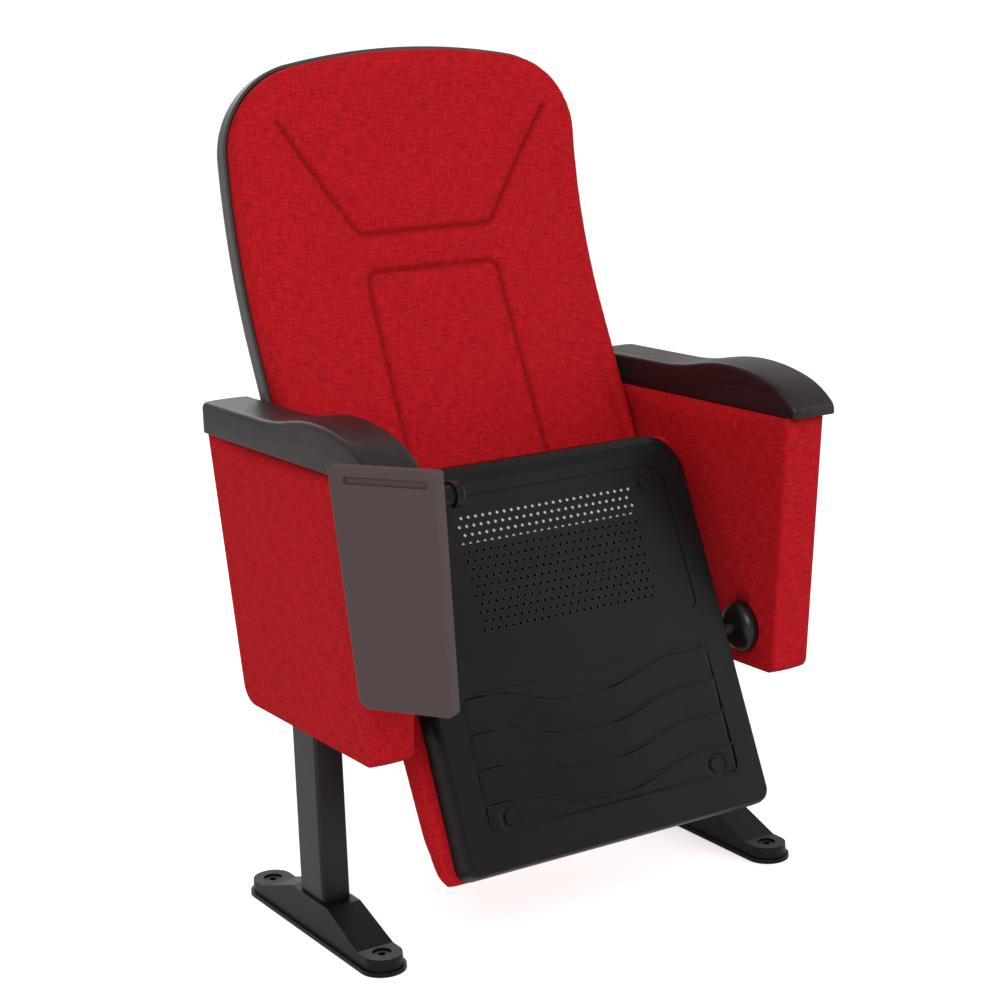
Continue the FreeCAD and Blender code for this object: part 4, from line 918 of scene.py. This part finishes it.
@dataclass
class BackUpholstery:
    """The back cushion with its sewn yoke and lumbar panel.

    Attributes:
        voxel: size of the remesh.
        shrink: how far the skin is drawn in before it swells.
        cap: the farthest that the skin may swell.
        seams: sewn lines in the back's own X and height.
        groove: depth of a seam.
        fine: half width of the sharp crease.
        wide: half width of the soft hollow.
        dark: half width of the shaded crease in a seam.
        behind: depth behind the bent front from which the pad is held.
        lie: mean lean of the back, degrees, that the cloth is laid along.
    """

    voxel: float = 0.006
    shrink: float = 0.0005
    cap: float = 0.007
    groove: float = 0.0034
    # fine: half width of the sharp groove.
    fine: float = 0.0027
    wide: float = 0.014
    # dark: half width of the painted shade along a seam.
    dark: float = 0.0032
    behind: float = 0.024
    lie: float = 12.0
    seams: tuple[tuple[tuple[float, float], ...], ...] = (
        ((-0.185, 0.916), (-0.098, 0.788), (-0.092, 0.781), (-0.084, 0.779),
         (0.084, 0.779), (0.092, 0.781), (0.098, 0.788), (0.185, 0.916)),
        ((-0.095, 0.47), (-0.091, 0.722), (-0.088, 0.731), (-0.079, 0.735),
         (0.079, 0.735), (0.088, 0.731), (0.091, 0.722), (0.095, 0.47)),
    )

    def build(self) -> None:
        """Makes and dresses the cushion."""
        piece = from_node("back_pad", "back_cushion", CLOTH, self.voxel, self.shrink)
        inflate(piece, back_depth(points_of(piece.data)) > self.behind, PRESSURE, self.cap)
        divided(piece)
        self.sew(piece)
        lay_cloth(piece, tilted((0.0, 0.0, 0.0), -self.lie).inverted())
        hand_in(piece, Role.STAND, "cloth", "back_cushion")

    def sew(self, piece: bpy.types.Object) -> None:
        """Presses the seams into the cushion's front and marks painted shade along them.

        Args:
            piece: the cushion.
        """
        mesh = piece.data
        points, normals = points_of(mesh), normals_of(mesh)
        facing = smooth_step((-normals[:, 1] - 0.3) / 0.4)
        depth = np.zeros(len(points))
        crease = np.zeros(len(points))
        for line in self.seams:
            away = line_distance(points[:, [0, 2]], line)
            # This weight is painted shade: the cloth darkens along each seam's groove.
            crease = np.maximum(crease, np.exp(-((away / self.dark) ** 2)) * facing)
            depth += self.groove * np.exp(-((away / self.fine) ** 2))
            depth += 0.8 * self.groove * np.exp(-((away / self.wide) ** 2))
        set_points(mesh, points - normals * (depth * facing)[:, None])
        mesh.attributes.new("crease", "FLOAT", "POINT").data.foreach_set("value", crease)


@dataclass
class SeatUpholstery:
    """The seat cushion over the tub, seen from below and behind when the seat is up.

    Attributes:
        voxel: size of the remesh.
        shrink: how far the skin is drawn in before it swells.
        cap: the farthest that the skin may swell.
        held: height in the seat's frame under which the pad is held.
    """

    voxel: float = 0.006
    shrink: float = 0.001
    cap: float = 0.009
    held: float = 0.016

    def build(self) -> None:
        """Makes and dresses the cushion."""
        piece = from_node("seat_pad", "seat_cushion", CLOTH, self.voxel, self.shrink)
        inverse = np.array(SEAT_FRAME.inverted())
        local = points_of(piece.data) @ inverse[:3, :3].T + inverse[:3, 3]
        inflate(piece, local[:, 2] < self.held, PRESSURE, self.cap)
        divided(piece)
        lay_cloth(piece, SEAT_FRAME.inverted())
        hand_in(piece, Role.SEAT, "cloth", "seat_cushion")


@dataclass
class PanelCover:
    """The upholstered side panel, a soft case with rounded edges, open under the armrest.

    Attributes:
        inner: inner face from the middle plane.
        thick: across the panel.
        corners: the trapezoid in Y and Z with corner radii.
        round: radius of the edges.
        puff: how far the faces swell.
        wall: cloth and foam.
        pivot: centre of the bush's hole.
        hole: its radius.
        post: front and rear ends of the post's opening.
        post_half: half width of that opening.
        low: height under which the cover's lower wall lies.
    """

    inner: float = 0.246
    thick: float = 0.054
    corners: tuple[tuple[float, float, float], ...] = (
        (-0.1815, 0.25, 0.014),
        (0.1235, 0.25, 0.028),
        (0.1845, 0.5655, 0.0005),
        (-0.2145, 0.5655, 0.0005),
    )
    round: float = 0.0045
    puff: float = 0.0012
    wall: float = 0.003
    pivot: tuple[float, float] = PIVOT
    hole: float = 0.0156
    post: tuple[float, float] = (-0.033, 0.024)
    post_half: float = 0.0185
    low: float = 0.256

    def outline(self) -> np.ndarray:
        """The trapezoid's points, from the front top corner down and round to the rear top."""
        loop = rounded_loop(self.corners, steps=10, spacing=0.008)
        points = np.array(loop)
        top = self.corners[2][1]
        start = int(np.argmin(np.abs(points - np.array(self.corners[3][:2])).sum(axis=1)))
        points = np.roll(points, -start - 1, axis=0)
        below = points[points[:, 1] < top - 0.002]
        return np.vstack([np.array(self.corners[3][:2]), below, np.array(self.corners[2][:2])])

    def build(self, name: str, side: float) -> None:
        """Makes one panel's cover.

        Args:
            name: left or right.
            side: -1 or 1.
        """
        edge = self.outline()
        inward = self.inward(edge)
        turns = np.linspace(0.0, math.pi / 2, 6)[::-1]
        bends = [(self.round * (1 - math.sin(turn)), self.round * (1 - math.cos(turn))) for turn in turns]
        start = edge + inward * bends[0][1]
        goal = np.linspace(start[0], start[-1], len(start))
        sheets = []
        for base, way in ((self.inner, 1.0), (self.inner + self.thick, -1.0)):
            corner = [
                np.column_stack([np.full(len(edge), base + way * depth), edge + inward * inset])
                for depth, inset in bends
            ]
            face = []
            for share in np.linspace(0, 1, 14)[1:]:
                swell = self.puff * math.sin(math.pi * min(1.0, share * 1.15) / 2)
                flat = start * (1 - share) + goal * share
                face.append(np.column_stack([np.full(len(flat), base - way * swell), flat]))
            sheets.append((corner, face))
        strip = []
        for share in np.linspace(0, 1, 7):
            x = self.inner + self.round + (self.thick - 2 * self.round) * share
            swell = -inward * 0.0008 * math.sin(math.pi * share)
            strip.append(np.column_stack([np.full(len(edge), x), edge + swell]))
        inner_rows = sheets[0][1][::-1] + sheets[0][0][:-1]
        outer_rows = sheets[1][0][:-1][::-1] + sheets[1][1]
        verts, faces = skin(inner_rows + strip + outer_rows, closed=False)
        verts[:, 0] *= side
        piece = new_piece("side_pad_" + name, verts, faces, CLOTH)
        self.close(piece, side)
        wall = piece.modifiers.new("wall", "SOLIDIFY")
        wall.thickness, wall.offset = self.wall, -1.0
        applied(piece)
        lay_cloth(piece, Matrix.Identity(4))
        hand_in(piece, Role.STAND, "cloth", "side_cover_" + name)

    def inward(self, edge: np.ndarray) -> np.ndarray:
        """Unit vectors from the outline into the panel, level along the open top."""
        run = np.gradient(edge, axis=0)
        run /= np.linalg.norm(run, axis=1, keepdims=True)
        normal = np.column_stack([-run[:, 1], run[:, 0]])
        middle = np.array([-0.02, 0.42])
        flip = np.sign(((middle - edge) * normal).sum(axis=1))
        normal *= flip[:, None]
        normal[0], normal[-1] = (1.0, 0.0), (-1.0, 0.0)
        return normal

    def close(self, piece: bpy.types.Object, side: float) -> None:
        """Cuts the post's opening and the bush's hole.

        Args:
            piece: the cover's skin.
            side: -1 or 1.
        """
        built = bmesh.new()
        built.from_mesh(piece.data)
        middle = side * (self.inner + self.thick / 2)
        half = self.post_half
        front, rear = self.post
        for axis, place in ((0, middle - half), (0, middle + half), (1, front), (1, rear)):
            faces = [f for f in built.faces if max(v.co.z for v in f.verts) < self.low]
            edges = list({e for f in faces for e in f.edges})
            corners = list({v for f in faces for v in f.verts})
            normal = Vector((1 - axis, axis, 0))
            bmesh.ops.bisect_plane(
                built, geom=faces + edges + corners, plane_co=normal * place, plane_no=normal, dist=1e-6
            )
        doomed = []
        for face in built.faces:
            at = face.calc_center_median()
            low = at.z < self.low and abs(at.x - middle) < half and front < at.y < rear
            near = math.hypot(at.y - self.pivot[0], at.z - self.pivot[1]) < self.hole + 0.004
            if low or (near and abs(at.x) < self.inner + 0.01):
                doomed.append(face)
        bmesh.ops.delete(built, geom=doomed, context="FACES")
        built.to_mesh(piece.data)
        built.free()


@dataclass
class Armrest:
    """The wooden armrest: a level heel, a crest and a falling nose, with eased edges.

    Attributes:
        inner: inner face from the middle plane.
        width: across.
        base: underside.
        ease: radius of the upper edges.
        front: tip of the nose.
        rear: end of the heel.
        level: height of the heel.
        crest: height of the crest.
    """

    inner: float = 0.246
    width: float = 0.062
    base: float = 0.566
    ease: float = 0.0065
    front: float = -0.225
    rear: float = 0.1785
    level: float = 0.037
    crest: float = 0.0505

    def profile(self) -> np.ndarray:
        """The top line from the tip to the dip: four arcs that run into each other.

        Returns:
            Places along the armrest and heights over the underside, from the tip on.
        """
        dip = np.array([self.front + 0.262, self.level])
        top = np.array([self.front + 0.127, self.crest])
        knots = [
            dip,
            dip + 0.55 * (top - dip),
            top,
            np.array([self.front + 0.047, self.crest - 0.0112]),
            np.array([self.front, 0.012]),
        ]
        slope = math.pi
        points = [dip[None, :]]
        for start, end in zip(knots, knots[1:]):
            chord = end - start
            swing = (math.atan2(chord[1], chord[0]) - slope + math.pi) % (2 * math.pi) - math.pi
            share = np.linspace(0.0, 1.0, 25)[1:]
            reach = np.hypot(*chord) * np.sin(swing * share) / math.sin(swing)
            heading = slope + swing * share
            points.append(start + np.stack([reach * np.cos(heading), reach * np.sin(heading)], axis=1))
            slope += 2 * swing
        return np.concatenate(points)[::-1]

    def build(self, name: str, side: float) -> None:
        """Makes one armrest.

        Args:
            name: left or right.
            side: -1 or 1.
        """
        line = self.profile()
        stations = np.concatenate(
            [
                self.front + 0.127 * np.linspace(0.0, 1.0, 40) ** 1.7,
                np.linspace(self.front + 0.131, self.rear - 0.008, 40),
                self.rear - np.array([0.005, 0.0025, 0.0008, 0.0]),
            ]
        )
        rings = []
        for y in stations:
            from_end = min(y - self.front, self.rear - y)
            short = self.ease - min(from_end, self.ease)
            easing = self.ease - math.sqrt(max(0.0, self.ease**2 - short**2))
            height = float(np.interp(y, line[:, 0], line[:, 1]))
            top = max(height - (easing if y > 0 else 0.3 * easing), 0.003)
            rings.append(self.ring(y, top, easing))
        count = len(rings[0])
        verts, faces = skin(rings)
        faces += [tuple(range(count)), tuple(range(len(verts) - count, len(verts)))]
        verts[:, 0] = side * (verts[:, 0] + self.inner)
        piece = new_piece("arm_" + name, verts, faces, ARM_WOOD)
        crisp = piece.modifiers.new("crisp", "BEVEL")
        crisp.width, crisp.segments, crisp.limit_method = 0.0008, 2, "ANGLE"
        crisp.angle_limit = math.radians(50)
        applied(piece)
        piece.data.shade_smooth()
        hand_in(piece, Role.STAND, "dark_wood", "armrest_" + name)

    def ring(self, y: float, top: float, easing: float) -> np.ndarray:
        """One cross-section.

        Args:
            y: its place.
            top: its height.
            easing: how far the sides are drawn in near the ends.

        Returns:
            The section's points.
        """
        draw = 0.5 * easing
        radius = min(self.ease, top * 0.45)
        low = 0.0015
        arcs: list[tuple[float, float]] = []
        centres = (
            (draw + low, low, low, 180), (self.width - draw - low, low, low, 270),
            (self.width - draw - radius, top - radius, radius, 0), (draw + radius, top - radius, radius, 90),
        )
        for x, z, r, start in centres:
            for step in range(7):
                angle = math.radians(start + 90 * step / 6)
                arcs.append((x + r * math.cos(angle), z + r * math.sin(angle)))
        crown = 0.0006
        arcs[21:21] = [
            (self.width * share, top + crown * math.sin(math.pi * share)) for share in (0.75, 0.5, 0.25)
        ]
        return np.array([(x, y, self.base + z) for x, z in arcs])


@dataclass
class SpringDome:
    """The smooth domed housing of a return spring, hollow and bored for the shaft.

    Attributes:
        radius: of its foot on the panel.
        wall: height of its straight wall.
        depth: how far the dome stands off the panel.
        mouth: radius of the hole for the shaft.
        shell: wall thickness.
        panel: the panel's inner face from the middle plane.
        centre: the pivot in Y and Z.
        count: steps round the dome.
    """

    radius: float = 0.03
    wall: float = 0.005
    depth: float = 0.0198
    mouth: float = 0.0071
    shell: float = 0.0022
    panel: float = 0.246
    centre: tuple[float, float] = PIVOT
    count: int = 96

    def profile(self) -> list[tuple[float, float]]:
        """Radius and height along the section, from the foot outside to the foot inside."""
        rise = self.depth - self.wall
        angles = np.linspace(0.0, math.pi / 2, 20)
        power = 2.0 / 2.4
        outside = [(self.radius, 0.0)]
        for angle in angles:
            reach = self.mouth + (self.radius - self.mouth) * math.cos(angle) ** power
            outside.append((reach, self.wall + rise * math.sin(angle) ** power))
        inside = [(max(r - self.shell, self.mouth), max(h - self.shell, 0.0)) for r, h in outside[1:]]
        return outside + inside[::-1] + [(self.radius - self.shell, 0.0)]

    def build(self, name: str, side: float) -> None:
        """Makes one dome.

        Args:
            name: left or right.
            side: -1 or 1.
        """
        radii, heights = np.array(self.profile()).T
        rings = []
        for angle in np.linspace(0.0, 2 * math.pi * side, self.count, endpoint=False):
            y, z = self.centre[0] + radii * math.cos(angle), self.centre[1] + radii * math.sin(angle)
            rings.append(np.column_stack([side * (self.panel - heights), y, z]))
        rings.append(rings[0])
        verts, faces = skin(rings)
        piece = new_piece("spring_dome_" + name, verts, faces, HOUSING_PLASTIC)
        hand_in(piece, Role.STAND, "housing", "spring_housing_" + name)


@dataclass
class PerforationRims:
    """The raised edges of the pan's square holes, made paler than the pan's black as a painted highlight, so
    that they glint in rows.

    Attributes:
        columns: holes in a row.
        rows: rows of holes.
        pitch: distance of the holes in a row.
        row_pitch: distance of the rows.
        hole: side of a hole.
        middle: middle of the field ahead of the pivot.
        floor: the field's floor in the seat's own height.
        outside: how far the rim's middle lies outside a hole's corners.
        bead: radius of the rim.
    """

    columns: int = 25
    rows: int = 14
    pitch: float = 0.0096
    row_pitch: float = 0.0099
    hole: float = 0.0036
    middle: float = 0.121
    floor: float = -0.0209
    outside: float = 0.0003
    bead: float = 0.00028

    def build(self) -> None:
        """Spreads one small square rim over the staggered rows."""
        nodes = NodeBuild(
            "perforation_rims",
            {
                "Columns": ("NodeSocketInt", self.columns),
                "Rows": ("NodeSocketInt", self.rows),
                "Pitch": ("NodeSocketFloat", self.pitch),
                "Row Pitch": ("NodeSocketFloat", self.row_pitch),
            },
        )
        columns, rows = nodes.given("Columns"), nodes.given("Rows")
        index = nodes.add("GeometryNodeInputIndex").outputs[0]
        points = nodes.add("GeometryNodePoints", Count=nodes.sum("MULTIPLY", columns, rows))
        column = nodes.sum("MODULO", index, columns)
        row = nodes.sum("FLOOR", nodes.sum("DIVIDE", index, columns), 0.0)
        odd = nodes.sum("MODULO", row, 2.0)
        shift = nodes.sum("MULTIPLY_ADD", odd, 0.5, -(self.columns - 1) / 2 - 0.25)
        x = nodes.sum("MULTIPLY", nodes.sum("ADD", column, shift), nodes.given("Pitch"))
        along = nodes.sum("SUBTRACT", row, (self.rows - 1) / 2)
        ahead = nodes.sum("MULTIPLY_ADD", along, nodes.given("Row Pitch"), self.middle)
        y = nodes.sum("MULTIPLY", ahead, -1.0)
        spot = nodes.add("ShaderNodeCombineXYZ", X=x, Y=y, Z=self.floor)
        placed = nodes.add("GeometryNodeSetPosition", Geometry=points.outputs[0], Position=spot.outputs[0])
        reach = self.hole / math.sqrt(2) + self.outside
        ring = nodes.add("GeometryNodeCurvePrimitiveCircle", Resolution=4, Radius=reach)
        edge = nodes.add("GeometryNodeCurvePrimitiveCircle", Resolution=5, Radius=self.bead)
        rim = nodes.add("GeometryNodeCurveToMesh", Curve=ring.outputs[0], Profile_Curve=edge.outputs[0])
        spread = nodes.add("GeometryNodeInstanceOnPoints", Points=placed.outputs[0], Instance=rim.outputs[0])
        # The rims take the paler moulding, a painted highlight.
        nodes.finish(spread.outputs[0], PAINTED_GLINT)
        piece = new_piece("perforation_rims", np.zeros((3, 3)), [(0, 1, 2)], PAINTED_GLINT)
        nodes.run(piece)
        set_points(piece.data, on_seat(points_of(piece.data)))
        hand_in(piece, Role.SEAT, "moulding")


@dataclass
class LouvreField:
    """The blades of the louvred field: each rises to a waved lip and drops behind it.

    Attributes:
        floor: the field's floor in the seat's own height.
        rise: how far a blade's lip stands off the floor.
        half: half width of the field.
        first: place of the first lip.
        pitch: distance of the lips.
        dip: depth of the wave.
        front: start of the field.
        rear: end of the field.
        wide: points across the relief.
        deep: points along the relief.
        plugs: place of the two plugs, whose circles stay free, and the circles' radius.
    """

    floor: float = -0.0209
    rise: float = 0.0024
    half: float = 0.1705
    first: float = 0.0144
    pitch: float = 0.0395
    dip: float = 0.021
    front: float = 0.0115
    rear: float = 0.1655
    wide: int = 110
    deep: int = 320
    plugs: tuple[float, float, float] = (0.142, 0.152, 0.0125)

    def wave(self, across: np.ndarray) -> np.ndarray:
        """How far a lip dips toward the rear."""
        rise = smooth_step((across + 0.126) / 0.082)
        fall = 1.0 - smooth_step((across - 0.022) / 0.1)
        return self.dip * rise * fall * (1.0 + 0.06 * np.cos(across * 40.0))

    def height(self, across: np.ndarray, along: np.ndarray) -> np.ndarray:
        """The relief over the field's floor."""
        phase = (along - self.first - self.wave(across)) / self.pitch
        share = phase - np.floor(phase)
        slope = 1.0 - share
        step = smooth_step(share / 0.035)
        live = smooth_step((phase + 0.02) / 0.04)
        return self.rise * slope * step * live

    def build(self) -> None:
        """Makes the relief as a thin sheet on the field's floor."""
        grid_x, grid_y = np.meshgrid(
            np.linspace(-self.half, self.half, self.wide), np.linspace(self.front, self.rear, self.deep)
        )
        edge = np.minimum(self.half - np.abs(grid_x), np.minimum(grid_y - self.front, self.rear - grid_y))
        fade = smooth_step(edge / 0.0035)
        rise = self.height(grid_x, grid_y) * fade - 0.0003 * (1.0 - fade)
        plug_x, plug_y, radius = self.plugs
        away = np.hypot(np.abs(grid_x) - plug_x, grid_y - plug_y)
        rise = np.where(away < radius, -0.0006, rise)
        local = np.stack([grid_x, grid_y, self.floor - rise], axis=-1).reshape(-1, 3)
        verts, faces = skin(on_seat(local).reshape(self.deep, self.wide, 3), closed=False)
        piece = new_piece("louvre_blades", verts, faces, PAN_PLASTIC)
        sheet = piece.modifiers.new("sheet", "SOLIDIFY")
        sheet.thickness, sheet.offset = 0.0004, 0.0
        applied(piece)
        hand_in(piece, Role.SEAT, "moulding")


@dataclass
class ThroughLightStrip:
    """A pale strip under the rows of holes nearest the front edge: painted light, standing for the light seen
    through those holes.

    Attributes:
        half: half width.
        low: lower face in the seat's own height.
        high: upper face.
        front: front end, ahead of the pivot.
        rear: rear end, ahead of the pivot.
    """

    half: float = 0.123
    low: float = -0.0193
    high: float = -0.0188
    front: float = -0.1905
    rear: float = -0.1555

    def build(self) -> None:
        """Makes the strip."""
        half, rear, front = self.half, self.rear, self.front
        flat = [(-half, rear), (half, rear), (half, front), (-half, front)]
        verts, faces = skin([np.array([(x, y, z) for x, y in flat]) for z in (self.low, self.high)])
        faces += [(0, 1, 2, 3), (4, 5, 6, 7)]
        # The pale strip is painted light under the front rows of holes.
        piece = new_piece("lining_strip", on_seat(verts), faces, THROUGH_LIGHT, smooth=False)
        hand_in(piece, Role.SEAT, "cloth")


def paint_frame(frame: dict[str, Any]) -> None:
    """Gives every CAD node the finish of its slot."""
    for entry in frame["record"]["subparts"]:
        node = frame["nodes"][entry["node"]]
        finish = NODE_FINISH.get(entry["node"], SLOT_FINISH[entry["material_slot"]])
        node.data.materials.clear()
        node.data.materials.append(finish.material())


def main() -> None:
    """Builds the scene in order."""
    logging.basicConfig(level=logging.INFO, format="%(name)s %(message)s")
    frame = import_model()
    paint_frame(frame)
    Studio().build()
    BackUpholstery().build()
    SeatUpholstery().build()
    LouvreField().build()
    PerforationRims().build()
    ThroughLightStrip().build()
    for name, side in SIDES:
        SpringDome().build(name, side)
        PanelCover().build(name, side)
        Armrest().build(name, side)


if __name__ == "__main__":
    main()
